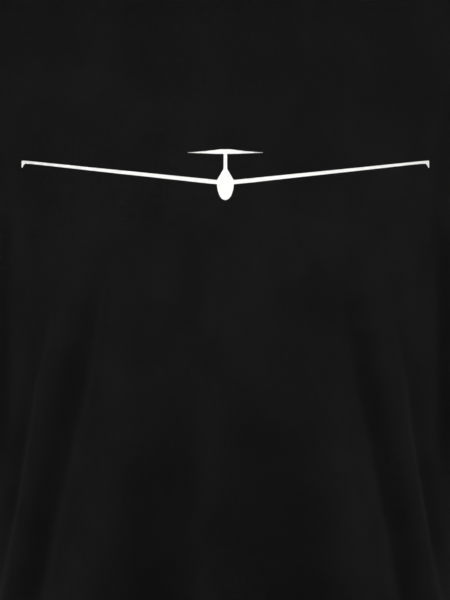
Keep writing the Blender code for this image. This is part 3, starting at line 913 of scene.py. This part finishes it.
frontFolds = {
    # lines down the photograph: across and down in its pixels, height and half width in millimetres
    "leftHollow": [
        (168, 300, 0, 22), (162, 350, -3.9, 22), (160, 400, -7.8, 23), (156, 450, -11.7, 24),
        (152, 500, -15.6, 25), (146, 550, -18.2, 26), (137, 600, -20.8, 26), (118, 700, -22.1, 28),
        (104, 810, -22.1, 30),
    ],
    "rightHollow": [
        (276, 300, 0, 22), (281, 350, -3.9, 22), (282, 400, -7.8, 23), (286, 450, -11.7, 24),
        (291, 500, -15.6, 25), (298, 550, -18.2, 26), (308, 600, -20.8, 26), (327, 700, -22.1, 28),
        (341, 810, -22.1, 30),
    ],
    "middleHollow": [
        (224, 280, 0, 24), (223, 350, -2.5, 25), (222, 450, -5, 26), (222, 550, -7, 28), (222, 700, -8, 30),
        (222, 810, -8, 30),
    ],
    "leftRidge": [
        (126, 300, 0, 15), (120, 350, 4.5, 15), (114, 400, 6.5, 15), (105, 450, 8.5, 16), (93, 500, 10, 16),
        (79, 550, 11.5, 17), (70, 600, 12.5, 17), (48, 700, 13.5, 18), (26, 810, 13.5, 18),
    ],
    "rightRidge": [
        (318, 300, 0, 15), (324, 350, 4.5, 15), (332, 400, 6.5, 15), (342, 450, 8.5, 16),
        (351, 500, 10, 16), (364, 550, 11, 17), (372, 600, 12, 17), (395, 700, 13.5, 18),
        (417, 810, 13.5, 18),
    ],
    "leftValley": [
        (101, 240, 0, 9), (93, 280, -4.5, 8.5), (87, 315, -8, 8.5), (80, 350, -10.5, 8.5),
        (70, 395, -12.5, 9), (57, 450, -12, 9), (47, 500, -12, 9), (37, 550, -12, 9), (27, 600, -12, 10),
        (2, 700, -11, 10), (-18, 810, -10, 11),
    ],
    "rightValley": [
        (344, 240, 0, 9), (350, 280, -4, 8.5), (355, 315, -7.5, 8.5), (362, 350, -10.5, 8.5),
        (371, 395, -13, 9), (384, 450, -12.5, 9), (394, 500, -12, 9), (403, 550, -12, 9),
        (412, 600, -12, 10), (438, 700, -11, 10), (458, 810, -10, 11),
    ],
    "leftPleat": [
        (66, 285, 0, 6), (52, 345, 3, 6), (41, 400, 4.5, 6), (31, 450, 4.6, 6), (22, 500, 4.3, 6.5),
        (13, 550, 3.3, 7), (4, 600, 2.6, 8), (-16, 700, 4, 8), (-34, 810, 4, 9),
    ],
    "rightPleat": [
        (378, 285, 0, 6), (389, 345, 3, 6), (399, 400, 3.6, 6), (409, 450, 3.4, 6), (418, 500, 4.2, 6.5),
        (427, 550, 3.8, 7), (436, 600, 3.2, 8), (458, 700, 4, 8), (477, 810, 4, 9),
    ],
    "leftCrease": [
        (52, 290, 0, 3), (40, 340, -2.5, 3), (28, 385, -3.5, 3), (19, 440, -4.5, 4), (15, 465, -5, 4),
        (8, 505, -5.5, 4), (-1, 550, -5, 4), (-12, 600, -4, 5), (-30, 690, 0, 5),
    ],
    "rightCrease": [
        (392, 290, 0, 3), (404, 340, -2.5, 3), (415, 385, -3.5, 3), (421, 430, -4.5, 4), (426, 465, -5, 4),
        (433, 505, -5.5, 4), (441, 550, -5.5, 4), (452, 600, -4, 5), (470, 690, 0, 5),
    ],
    "leftArmpit": [
        (8, 218, 0, 6), (1, 232, -3, 7), (-4, 260, -4.5, 8), (-5, 330, -5, 8), (-5, 400, -5, 8),
        (-7, 470, -3, 9), (-10, 550, 0, 10),
    ],
    "rightArmpit": [
        (434, 210, 0, 6), (443, 226, -3, 7), (450, 250, -4.5, 8), (452, 330, -5.5, 8), (453, 410, -5.5, 8),
        (455, 480, -3, 9), (460, 570, 0, 10),
    ],
    "leftArmpitLip": [
        (-14, 215, 0, 7), (-22, 250, 4, 8), (-24, 330, 5, 8), (-25, 410, 5, 8), (-28, 480, 3, 9),
        (-32, 560, 0, 10),
    ],
    "rightArmpitLip": [
        (460, 212, 0, 7), (468, 250, 4, 8), (471, 330, 5, 8), (472, 420, 5, 8), (475, 490, 3, 9),
        (480, 580, 0, 10),
    ],
}
armpitPaintedShade = {
    # painted shade in bands beside the armpits, where the creases are shadowed: across, down, amount, half
    # width in millimetres
    "leftBand": [
        (2, 222, 1.4, 5), (-3, 245, 2.1, 7), (-4, 320, 2.2, 7), (-4, 380, 2.5, 8.5), (-6, 450, 2.0, 9),
        (-8, 530, 0, 9),
    ],
    "rightBand": [
        (442, 216, 1.4, 5), (450, 240, 2.6, 8), (454, 300, 3.4, 9.5), (454, 440, 3.4, 9.5),
        (458, 490, 2.0, 9), (460, 560, 0, 9),
    ],
}


def foldRelief(points):
    return alongLines(points, frontFolds) / 1000


def alongLines(points, lines):
    # sum of rounded ridges at each point, from its nearest place on every line
    total = np.zeros(points.shape[:-1])
    spots = points[..., [0, 2]]
    for line in lines.values():
        nodes = atPixel([node[:2] for node in line])
        sizes = np.array([node[2:] for node in line], dtype=float) / (1, 1000)
        nearest = np.full(total.shape, np.inf)
        height, halfWidth = np.zeros(total.shape), np.ones(total.shape)
        for k in range(len(nodes) - 1):
            step = nodes[k + 1] - nodes[k]
            t = np.clip(((spots - nodes[k]) @ step) / (step @ step), 0, 1)
            gap = np.linalg.norm(spots - nodes[k] - t[..., None] * step, axis=-1)
            closer = gap < nearest
            nearest = np.where(closer, gap, nearest)
            height = np.where(closer, sizes[k, 0] + t * (sizes[k + 1, 0] - sizes[k, 0]), height)
            halfWidth = np.where(closer, sizes[k, 1] + t * (sizes[k + 1, 1] - sizes[k, 1]), halfWidth)
        total += height * np.exp(-((nearest / halfWidth) ** 2) / 2)
    return total


def makePanel(name, grid, finish, seed, relief=None):
    # the front or back: hem at row 0, side seams and armholes at both sides, shoulders and neck on top
    rows = finePlaces(grid, hemGaps, seamGaps)
    columns = finePlaces(np.swapaxes(grid, 0, 1), seamGaps, seamGaps)
    rowCount, columnCount = grid.shape[:2]
    middleRow = columns[:, rowCount // 2]
    fineRows = np.stack([np.interp(middleRow, np.arange(columnCount), row) for row in rows])
    fineColumns = [np.interp(fineRows[:, 0], np.arange(rowCount), column) for column in columns]
    fineColumns = np.stack(fineColumns, axis=1)
    base = sampleGrid(grid, fineRows, fineColumns)
    along, across = lengths(base, 0), lengths(base, 1)
    top, far = along[-1:] - along, across[:, -1:] - across
    seams = ((across, along), (far, along), (top, across))
    height = puckered(hemHeight(along, across, seed), seams, pucker["panel"], seed)
    if relief:
        height = height + relief(base) * smoothStep(np.minimum(across, far) / 0.03) * smoothStep(top / 0.03)
    outer, inner, normal = clothFaces(base, height, along)
    cells = np.stack([across - across[:, [across.shape[1] // 2]], along], axis=-1)
    # the fold relief is painted into the colour too: painted light on the ridges, painted shade in the hollows
    proud = relief(base) * 100 if relief else 0.0
    fading = np.clip(paintedLightAndShade(base, normal) + proud, -2, 2)
    if relief:
        # painted shade in the bands beside the armpits
        fading -= alongLines(base, armpitPaintedShade)
    thing = closedShell(name, outer, inner, finish, firstEdge=hem["edge"], cells=cells, fading=fading)
    part = {"thing": thing, "outer": outer, "inner": inner, "facing": normal}
    part |= {"along": along, "across": across, "top": top, "far": far}
    return part | {"rows": fineRows[:, 0], "columns": fineColumns[-1]}


def makeSleeve(name, grid, finish, seed):
    # rings from the opening to the armhole; column 0 is over the shoulder, the seam is underneath
    grid = grid[::-1]
    rows = finePlaces(grid, hemGaps[:-1], seamGaps)
    count = grid.shape[1]
    columns = np.arange(count * 3) / 3
    rows = np.concatenate([rows, rows[:, :1]], axis=1)
    fineRows = np.stack([np.interp(columns, np.arange(count + 1), row) for row in rows])
    base = sampleGrid(grid, fineRows, np.broadcast_to(columns, fineRows.shape), around=True)
    along, across = lengths(base, 0), lengths(base, 1)
    top, under = along[-1:] - along, np.abs(across - across[:, count : count + 1])
    height = puckered(hemHeight(along, across, seed), ((top, across), (under, along)), pucker["sleeve"], seed)
    outer, inner, normal = clothFaces(base, height, along, around=True)
    # painted light on the sleeve's raised folds and painted shade in its hollows
    fading = paintedLightAndShade(base, normal, True)
    thing = closedShell(name, outer, inner, finish, around=True, firstEdge=hem["edge"], fading=fading)
    return {"thing": thing, "outer": outer, "inner": inner, "facing": normal, "along": along}


# The collar: one strip of 1x1 rib, folded double

collar = {
    "width": 0.020,
    "frontInward": 0.0105,
    "backInward": 0.0045,
    "thickness": 0.0019,
    "ribs": 388,  # 1.35 mm each
    "ribHeight": 0.00026,
    "crown": 0.0007,
    "unevenness": 0.00022,
    "sunk": 0.0009,  # let into the cloth along the seam
    "heights": [0.0, 0.0007, 0.0018, 0.0034, 0.0056, 0.0080, 0.0105, 0.0130, 0.0155, 0.0175],
}


def collarFrame(angles):
    # the seam with the body, and across the rib the way it stands and the way it faces
    small = 1.0e-3
    seam = neckLine(angles)
    inward = collar["backInward"] + (1 + np.cos(angles)) / 2 * (collar["frontInward"] - collar["backInward"])
    plan, within = (np.stack(neckPlan(angles, grow), axis=1) for grow in (0.0, -small))
    rise = np.sqrt(collar["width"] ** 2 - inward**2)
    upward = unit(np.concatenate([(within - plan) * (inward / small)[:, None], rise[:, None]], axis=1))
    facing = unit(np.cross(np.roll(seam, -1, axis=0) - np.roll(seam, 1, axis=0), upward))
    if (facing * seam * np.array([1, 1, 0])).sum() < 0:
        facing = -facing
    return seam, upward, facing


def makeCollar(finish):
    # the profile runs up the outside, over the fold and down the inside
    dense = np.linspace(0, 2 * math.pi, 4000, endpoint=False)
    seam = neckLine(dense)
    run = runLength(np.append(seam, seam[:1], axis=0))
    count = collar["ribs"] * 4
    length = np.arange(count) / count * run[-1]
    seam, upward, facing = collarFrame(np.interp(length, run, np.append(dense, 2 * math.pi)))
    width, half = collar["width"], collar["thickness"] / 2
    fold = np.linspace(0, math.pi, 9)
    profile = [(s, half * (1 - 0.75 * math.exp(-((s / 0.0009) ** 2)))) for s in collar["heights"]]
    profile += [(width - half + half * math.sin(t), half * math.cos(t)) for t in fold]
    profile += [(s, -half) for s in collar["heights"][::-1]]
    profile += [(-0.0006, -half * 0.6), (-0.0008, 0.0)]
    wale = np.cos(np.arange(count) * math.pi / 2) * collar["ribHeight"]
    rng = np.random.default_rng(31)
    uneven = 0
    for k in (3, 5, 7, 11, 17):
        size, turn = rng.uniform(0.4, 1.0), rng.uniform(0, 6.3)
        uneven = uneven + size * np.sin(2 * math.pi * k * length / run[-1] + turn)
    rings = []
    for s, out in profile:
        weight = smoothStep(s / 0.003)
        crown = collar["crown"] * math.sin(math.pi * min(max(s / width, 0), 1))
        # the wales stand out both ways from the middle of the folded strip
        lean = math.copysign(min(abs(out) / half, 1.0), out)
        bulge = out + crown + wale * lean * (0.25 + 0.75 * weight)
        bulge = bulge + collar["unevenness"] * uneven * (s / width)
        tall = s + wale * (1 - abs(lean)) * (s > width / 2)
        ring = seam - collar["sunk"] * facing + upward * np.reshape(tall, (-1, 1))
        rings.append(ring + facing * bulge[:, None])
    grid = np.array(rings)
    ids = np.arange(grid.shape[0] * count).reshape(grid.shape[0], count)
    faces = quads(np.concatenate([ids, ids[:1]]), around=True)
    spots = np.stack([lengths(grid, 1), lengths(grid, 0)], axis=-1).reshape(-1, 2)
    thing = clothMesh("neckRib", grid.reshape(-1, 3), faces, spots, finish, (True, True))
    stage(f"neckRib: {len(thing.data.polygons)} faces")
    return thing


# Sewing thread: one stitch is modelled and copied along each seam

thread = {
    "radius": 0.00021,
    "pitch": 0.0029,
    "sides": 6,
    "insidePitch": 0.0026,
    "seamRadius": 0.00017,
    "tapeRadius": 0.00018,
    "fill": 0.86,  # how much of the pitch a stitch covers
}


def modelStitch():
    # a short spindle lying on x from 0 to 1, radius 1, sunk at both ends and bowed up between them
    bpy.ops.object.select_all(action="DESELECT")
    place = {"location": (0.5, 0.0, 0.0), "rotation": (0.0, math.pi / 2, 0.0)}
    bpy.ops.mesh.primitive_cylinder_add(vertices=thread["sides"], radius=1.0, depth=1.0, **place)
    stitch = bpy.context.object
    bpy.ops.object.transform_apply(location=True, rotation=True, scale=True)
    bpy.ops.object.mode_set(mode="EDIT")
    for x in (0.14, 0.5, 0.86):
        bpy.ops.mesh.select_all(action="SELECT")
        bpy.ops.mesh.bisect(plane_co=(x, 0, 0), plane_no=(1, 0, 0))
    bpy.ops.object.mode_set(mode="OBJECT")
    place = pointsOf(stitch.data)
    bow = 1 - (2 * place[:, 0] - 1) ** 2
    place[:, 1:] *= (0.45 + 0.55 * bow)[:, None]
    place[:, 2] += 1.5 * bow - 0.95
    shape = [tuple(face.vertices) for face in stitch.data.polygons]
    bpy.data.objects.remove(stitch, do_unlink=True)
    return place, shape


def sewThread(name, runs, finish, stitch, radius=thread["radius"]):
    # each run is the starts, the ends and the outward directions of its stitches
    shape, shapeFaces = stitch
    starts, ends, outward = (np.concatenate([run[k] for run in runs]) for k in range(3))
    ahead = ends - starts
    side = unit(np.cross(outward, ahead))
    lift = unit(np.cross(ahead, side))
    points = starts[:, None] + ahead[:, None] * shape[None, :, :1]
    points = points + radius * (side[:, None] * shape[None, :, 1:2] + lift[:, None] * shape[None, :, 2:])
    firsts = np.arange(len(starts)) * len(shape)
    faces = [tuple(int(first + i) for i in face) for first in firsts for face in shapeFaces]
    thing = meshObject(name, points.reshape(-1, 3), faces)
    thing.data.materials.append(finish)
    thing.data.shade_smooth()
    stage(f"{name}: {len(starts)} stitches, {len(faces)} faces")
    return thing


def spaced(line, facing, pitch, closed=False, count=None):
    # points every pitch metres along a line, with their outward directions
    if closed:
        line, facing = np.concatenate([line, line[:1]]), np.concatenate([facing, facing[:1]])
    count = count or max(2, int(round(runLength(line)[-1] / pitch))) + 1
    return evenly(line, count), unit(evenly(line, count, facing))


def topStitches(line, facing, pitch=thread["pitch"], closed=False):
    points, facing = spaced(line, facing, pitch, closed)
    return points[:-1], points[:-1] + np.diff(points, axis=0) * thread["fill"], facing[:-1]


def crossStitches(lineA, lineB, facing, pitch=thread["pitch"], closed=False):
    # looper thread that runs to and fro between two lines
    a, turned = spaced(lineA, facing, pitch, closed)
    b, _ = spaced(lineB, facing, pitch, closed, len(a))
    starts, ends = np.concatenate([a[:-1], b[:-1]]), np.concatenate([b[:-1], a[1:]])
    return starts, ends, np.concatenate([turned[:-1], turned[:-1]])


def linesAt(part, layer, edge, wanted, keep=slice(None)):
    # lines over a part at wanted distances from an edge: along is its hem, across and far its two sides
    sign = 1 if layer == "outer" else -1
    grids = [part[key] for key in (layer, "facing", edge)]
    grids = [np.swapaxes(grid, 0, 1) for grid in grids] if edge in ("across", "far") else grids
    grids = [grid[:, keep] for grid in grids]
    surface, facing, distance = [grid[::-1] for grid in grids] if edge in ("top", "far") else grids
    points = np.zeros((len(wanted), surface.shape[1], 3))
    turned = np.zeros_like(points)
    for c in range(surface.shape[1]):
        for k in range(3):
            points[:, c, k] = np.interp(wanted, distance[:, c], surface[:, c, k])
            turned[:, c, k] = np.interp(wanted, distance[:, c], sign * facing[:, c, k])
    return points, unit(turned)


def hemThread(name, parts, finish, stitch, closed):
    runs = []
    for part in parts:
        for line, turned in zip(*linesAt(part, "outer", "along", stitchRows)):
            runs.append(topStitches(line, turned, closed=closed))
        lines, facing = linesAt(part, "inner", "along", stitchRows)
        runs.append(crossStitches(lines[0], lines[1], facing[0], closed=closed))
    return sewThread(name, runs, finish, stitch)


# Overlocked seam allowances, neck tape and label, on the inside

inside = {
    "gap": 0.00025,
    "allowance": 0.0068,
    "thickness": 0.0012,
    "tapeThickness": 0.0006,
    "tapeRows": [0.0001, 0.0006, 0.0014, 0.0024, 0.0036, 0.0050, 0.0066, 0.0082, 0.0096, 0.0105, 0.0110],
    "tapeStitches": (2, 9),  # the rows that are sewn
}


def band(name, lines, facing, thickness, finish, around=False, lift=None, seed=3):
    # a strip that lies on the inside of the cloth; rows of lines run across it
    raised = inside["gap"] + np.zeros(len(lines)) if lift is None else lift
    far = raised + thickness
    far[[0, -1]] -= thickness * 0.35
    low = lines + raised[:, None, None] * facing
    high = lines + far[:, None, None] * facing
    run = lengths(lines, 1)
    waves = ripple(0.004 + 0 * run, run, 0.0005, seed) * np.linspace(0.3, 1, len(lines))[:, None]
    high += waves[..., None] * facing
    return closedShell(name, high, low, finish, around=around)


def overlock(lines, facing, closed=False):
    # loops over the free edge and a needle line beside the seam
    top, pitch = inside["gap"] + inside["thickness"], thread["insidePitch"]
    edge = lines[-1] + (top - 0.0002) * facing[-1]
    middle = lines[3] + top * facing[3]
    loops = crossStitches(middle, edge, facing[3], pitch, closed)
    return [loops, topStitches(middle, facing[3], pitch, closed)]


def makeSeams(front, back, finish, threadFinish, stitch):
    made, runs = {}, []
    side, shoulder, width = weave["sideRows"], weave["shoulderColumns"], inside["allowance"]
    widths = np.array([0.0002, 0.0012, 0.0026, 0.0042, width - 0.0010, width - 0.0004, width])
    below = (back["along"][:, 0] > shirt["hemDepth"] + 0.002) & (back["rows"] < side - 1.3)
    columns = back["columns"]

    def sew(name, lines, facing, seed, closed=False):
        made[name] = band(name, lines, facing, inside["thickness"], finish, around=closed, seed=seed)
        runs.extend(overlock(lines, facing, closed))

    for name, ahead, behind in (("left", "far", "across"), ("right", "across", "far")):
        sew(name + "SideSeam", *linesAt(back, "inner", behind, widths, below), 5)
        fore = linesAt(front, "inner", ahead, widths, front["rows"] >= side)
        aft = linesAt(back, "inner", behind, widths, back["rows"] >= side)
        ring = [np.concatenate([a, b[:, ::-1][:, 1:]], axis=1) for a, b in zip(fore, aft)]
        sew(name + "ArmholeSeam", *ring, 7, closed=True)
        keep = columns < shoulder - 0.6 if name == "left" else columns > columns[-1] - shoulder + 0.6
        keep = keep & (back[behind][-1] > width + 0.0012)
        sew(name + "ShoulderSeam", *linesAt(back, "inner", "top", widths, keep), 9)
    made["seamThread"] = sewThread("seamThread", runs, threadFinish, stitch, thread["seamRadius"])
    return made


def makeTape(back, finish, threadFinish, stitch):
    # herringbone tape over the back neck seam, from shoulder to shoulder, with two rows of stitches
    columns, shoulder, widths = back["columns"], weave["shoulderColumns"], np.array(inside["tapeRows"])
    keep = (columns > shoulder - 0.2) & (columns < columns[-1] - shoulder + 0.2)
    lines, facing = linesAt(back, "inner", "top", widths, keep)
    lift = 0.0004 + 0.0011 * np.exp(-(((widths - 0.0020) / 0.0030) ** 2))
    tape = band("neckTape", lines, facing, inside["tapeThickness"], finish, lift=lift, seed=11)
    runs = []
    for k in inside["tapeStitches"]:
        line = lines[k] + (lift[k] + inside["tapeThickness"]) * facing[k]
        runs.append(topStitches(line, facing[k], thread["insidePitch"]))
    return tape, sewThread("tapeThread", runs, threadFinish, stitch, thread["tapeRadius"])


label = {
    "halfWidth": 0.0205,
    "top": -0.0150,
    "bottom": -0.0362,
    "thickness": 0.00030,
    "fold": 0.0007,
    "clear": 0.0016,  # between the shirt and the label
    "bow": 0.0010,
}


def makeLabel(back, finish, threadFinish, stitch):
    # a blank satin ribbon folded into a loop and sewn down along its top edge
    top, fold, clear, half = label["top"], label["fold"], label["clear"], label["thickness"] / 2
    x = np.linspace(-label["halfWidth"], label["halfWidth"], 29)
    drop = np.linspace(top, label["bottom"] + fold, 14)
    curl = 0.0022 * smoothStep((top - drop - 0.004) / 0.02)
    turn = np.linspace(0, math.pi, 7)[1:-1]
    layers = [(z, clear + 0.15 * c) for z, c in zip(drop, curl)]
    rise = 0.15 * curl[-1]
    layers += [(drop[-1] - fold * math.sin(t), clear + rise + fold * (1 - math.cos(t))) for t in turn]
    for z, c in zip(drop[::-1], curl[::-1]):
        layers.append((z, clear + 2 * fold * smoothStep((top - z) / 0.005) + 0.0005 + 0.85 * c * 0.6))
    tree = gridTree(back["inner"])
    grid = np.zeros((len(layers), len(x), 3))
    for c, across in enumerate(x):
        for r, (z, away) in enumerate(layers):
            hit = tree.ray_cast(Vector((across, 0.0, z)), Vector((0, 1, 0)))[0]
            bend = label["bow"] * (across / label["halfWidth"]) ** 2 * (away > 0.0020)
            grid[r, c] = (across, hit.y - away - bend, z)
    normal = surfaceNormals(grid)
    thing = closedShell("neckLabel", grid + half * normal, grid - half * normal, finish)
    face = grid[-2] + np.array([0.0, -half, -0.0008])
    sewn = topStitches(face, np.tile([0.0, -1.0, 0.0], (len(face), 1)), thread["insidePitch"])
    return thing, sewThread("labelThread", [sewn], threadFinish, stitch, thread["tapeRadius"])


def gridTree(grid):
    ids = np.arange(grid.shape[0] * grid.shape[1]).reshape(grid.shape[:2])
    points, faces = grid.reshape(-1, 3).tolist(), quads(ids).tolist()
    return BVHTree.FromPolygons([tuple(p) for p in points], [tuple(f) for f in faces])


def makeNeckThread(front, back, finish, stitch):
    # a row of stitches on the body just below the collar
    runs, shoulder = [], weave["shoulderColumns"]
    for part in (front, back):
        columns = part["columns"]
        keep = (columns > shoulder - 0.1) & (columns < columns[-1] - shoulder + 0.1)
        lines, facing = linesAt(part, "outer", "top", [0.0032], keep)
        runs.append(topStitches(lines[0], facing[0]))
    return sewThread("neckThread", runs, finish, stitch)


# The print: a glider seen from ahead, its outline read off the photograph in pixels

glider = {
    "film": 0.00016,
    "lift": 0.00005,
    "step": 0.0020,  # the film is cut into squares this wide, so that it bends with the cloth
    "middle": 225.35,
    # pairs and triples: distance from the middle, then height or top and underside, down the photograph
    "wing": [
        (8.4, 180.0, 184.2), (24.8, 178.34, 182.60), (44.8, 176.36, 180.32), (74.8, 173.34, 177.00),
        (104.8, 170.36, 173.78), (134.8, 167.40, 170.50), (164.8, 164.30, 167.10), (184.8, 162.30, 164.90),
        (194.8, 161.25, 163.85), (203.0, 160.60, 163.2),
    ],
    "winglet": [
        (203.6, 161.2), (203.6, 167.4), (203.2, 168.0), (202.5, 166.8), (201.4, 164.9), (200.3, 163.7),
    ],
    "tailTop": [
        (4.8, 149.25), (9.8, 150.0), (14.8, 150.5), (19.8, 151.2), (24.8, 151.5), (30.0, 152.05),
        (37.6, 152.45),
    ],
    "tailUnder": [(37.6, 152.65), (30.0, 152.95), (20.0, 153.4), (12.0, 153.75), (1.8, 153.9)],
    "fin": [(1.75, 158.0), (1.8, 167.8)],
    "shoulders": [(2.1, 169.5), (3.9, 172.4), (5.0, 174.4), (6.2, 176.4), (7.4, 178.4)],
    "belly": [
        (8.45, 185.0), (8.2, 187.5), (7.6, 190.5), (6.3, 194.5), (5.3, 196.5), (3.7, 198.5), (2.3, 199.4),
        (0.0, 200.1),
    ],
}


def gliderOutline():
    half = glider["tailTop"] + glider["tailUnder"] + glider["fin"] + glider["shoulders"]
    half += [(x, top) for x, top, _ in glider["wing"]]
    half += glider["winglet"]
    half += [(x, under) for x, _, under in glider["wing"][-2::-1]]
    half += glider["belly"]
    return [(glider["middle"] + x, y) for x, y in half] + [(glider["middle"] - x, y) for x, y in half[-2::-1]]


def makePrint(front, finish):
    shape = bmesh.new()
    spots = atPixel(gliderOutline())
    shape.faces.new([shape.verts.new((x, 0.0, z)) for x, z in spots])
    low, high = spots[:, 1].min(), spots[:, 1].max()
    slices = [((x, 0, 0), (1, 0, 0)) for x in np.arange(-0.1640, 0.1645, glider["step"])]
    slices += [((0, 0, z), (0, 0, 1)) for z in np.arange(low + 0.0012, high, glider["step"])]
    for place, facing in slices:
        everything = shape.verts[:] + shape.edges[:] + shape.faces[:]
        bmesh.ops.bisect_plane(shape, geom=everything, plane_co=place, plane_no=facing, dist=1e-6)
    bmesh.ops.triangulate(shape, faces=shape.faces[:])
    shape.verts.index_update()
    tree = gridTree(front["outer"])
    near, far = [], []
    for vert in shape.verts:
        target = Vector((vert.co.x, photo["chestDepth"], vert.co.z))
        start = Vector(lensPoint)
        place, facing = tree.ray_cast(start, (target - start).normalized())[:2]
        if facing.y > 0:
            facing = -facing
        near.append(place + glider["lift"] * facing)
        far.append(place + (glider["lift"] + glider["film"]) * facing)
    count = len(near)
    faces = []
    for face in shape.faces:
        a, b, c = (v.index for v in face.verts)
        faces += [(a, b, c), (count + a, count + c, count + b)]
    for edge in shape.edges:
        if edge.is_boundary:
            a, b = (v.index for v in edge.verts)
            faces.append((a, b, count + b, count + a))
    shape.free()
    thing = meshObject("gliderPrint", near + far, faces)
    faceOutward(thing)
    thing.data.materials.append(finish)
    bpy.ops.object.select_all(action="DESELECT")
    thing.select_set(True)
    bpy.context.view_layer.objects.active = thing
    bpy.ops.object.shade_smooth_by_angle(angle=math.radians(40))
    stage(f"gliderPrint: {len(faces)} faces")
    return thing


# Making everything

look = makeFinishes()
makeCamera()
makeLights()
makeFloor(look["floor"])
ids, worn, asCut = sewShirt()
stage(f"shirt sewn, {len(worn)} points")
settled = settleCloth(ids, worn, asCut)

front = makePanel("frontPanel", settled[ids["front"]], look["jersey"], 100, foldRelief)
back = makePanel("backPanel", settled[ids["back"]], look["jersey"], 200)
left = makeSleeve("leftSleeve", settled[ids["left"]], look["jersey"], 300)
right = makeSleeve("rightSleeve", settled[ids["right"]], look["jersey"], 400)
rib = makeCollar(look["rib"])
stitch = modelStitch()
bodyHem = hemThread("hemThread", [front, back], look["thread"], stitch, closed=False)
leftHem = hemThread("leftSleeveThread", [left], look["thread"], stitch, closed=True)
rightHem = hemThread("rightSleeveThread", [right], look["thread"], stitch, closed=True)
neckThread = makeNeckThread(front, back, look["thread"], stitch)
seams = makeSeams(front, back, look["tape"], look["thread"], stitch)
tape, tapeThread = makeTape(back, look["tape"], look["thread"], stitch)
neckLabel, labelThread = makeLabel(back, look["label"], look["thread"], stitch)
film = makePrint(front, look["film"])

seamPieces = []
seamNodes = {"SideSeam": "side_seam", "ArmholeSeam": "armhole_seam", "ShoulderSeam": "shoulder_seam"}
for name, node in seamNodes.items():
    for side in ("left", "right"):
        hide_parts(f"{side}_{node}")
        seamPieces.append(seams[side + name])
seamPieces.append(seams["seamThread"])
for piece in seamPieces:
    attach(piece, "root")
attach(film, "root")
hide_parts("glider_print")

plan = [
    # piece, the CAD node it stands for, its slot, its sewing, what else is on it
    (front["thing"], "front_panel", "jersey", [bodyHem, neckThread], [film]),
    (back["thing"], "back_panel", "jersey", [], seamPieces),
    (left["thing"], "left_sleeve", "jersey", [leftHem], []),
    (right["thing"], "right_sleeve", "jersey", [rightHem], []),
    (rib, "neck_rib", "ribbing", [], []),
    (tape, "neck_tape", "tape", [tapeThread], []),
    (neckLabel, "neck_label", "label", [labelThread], []),
]
for piece, node, slot, sewing, others in plan:
    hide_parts(node)
    for each in [piece] + sewing:
        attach(each, "root")

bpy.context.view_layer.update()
stage("done")
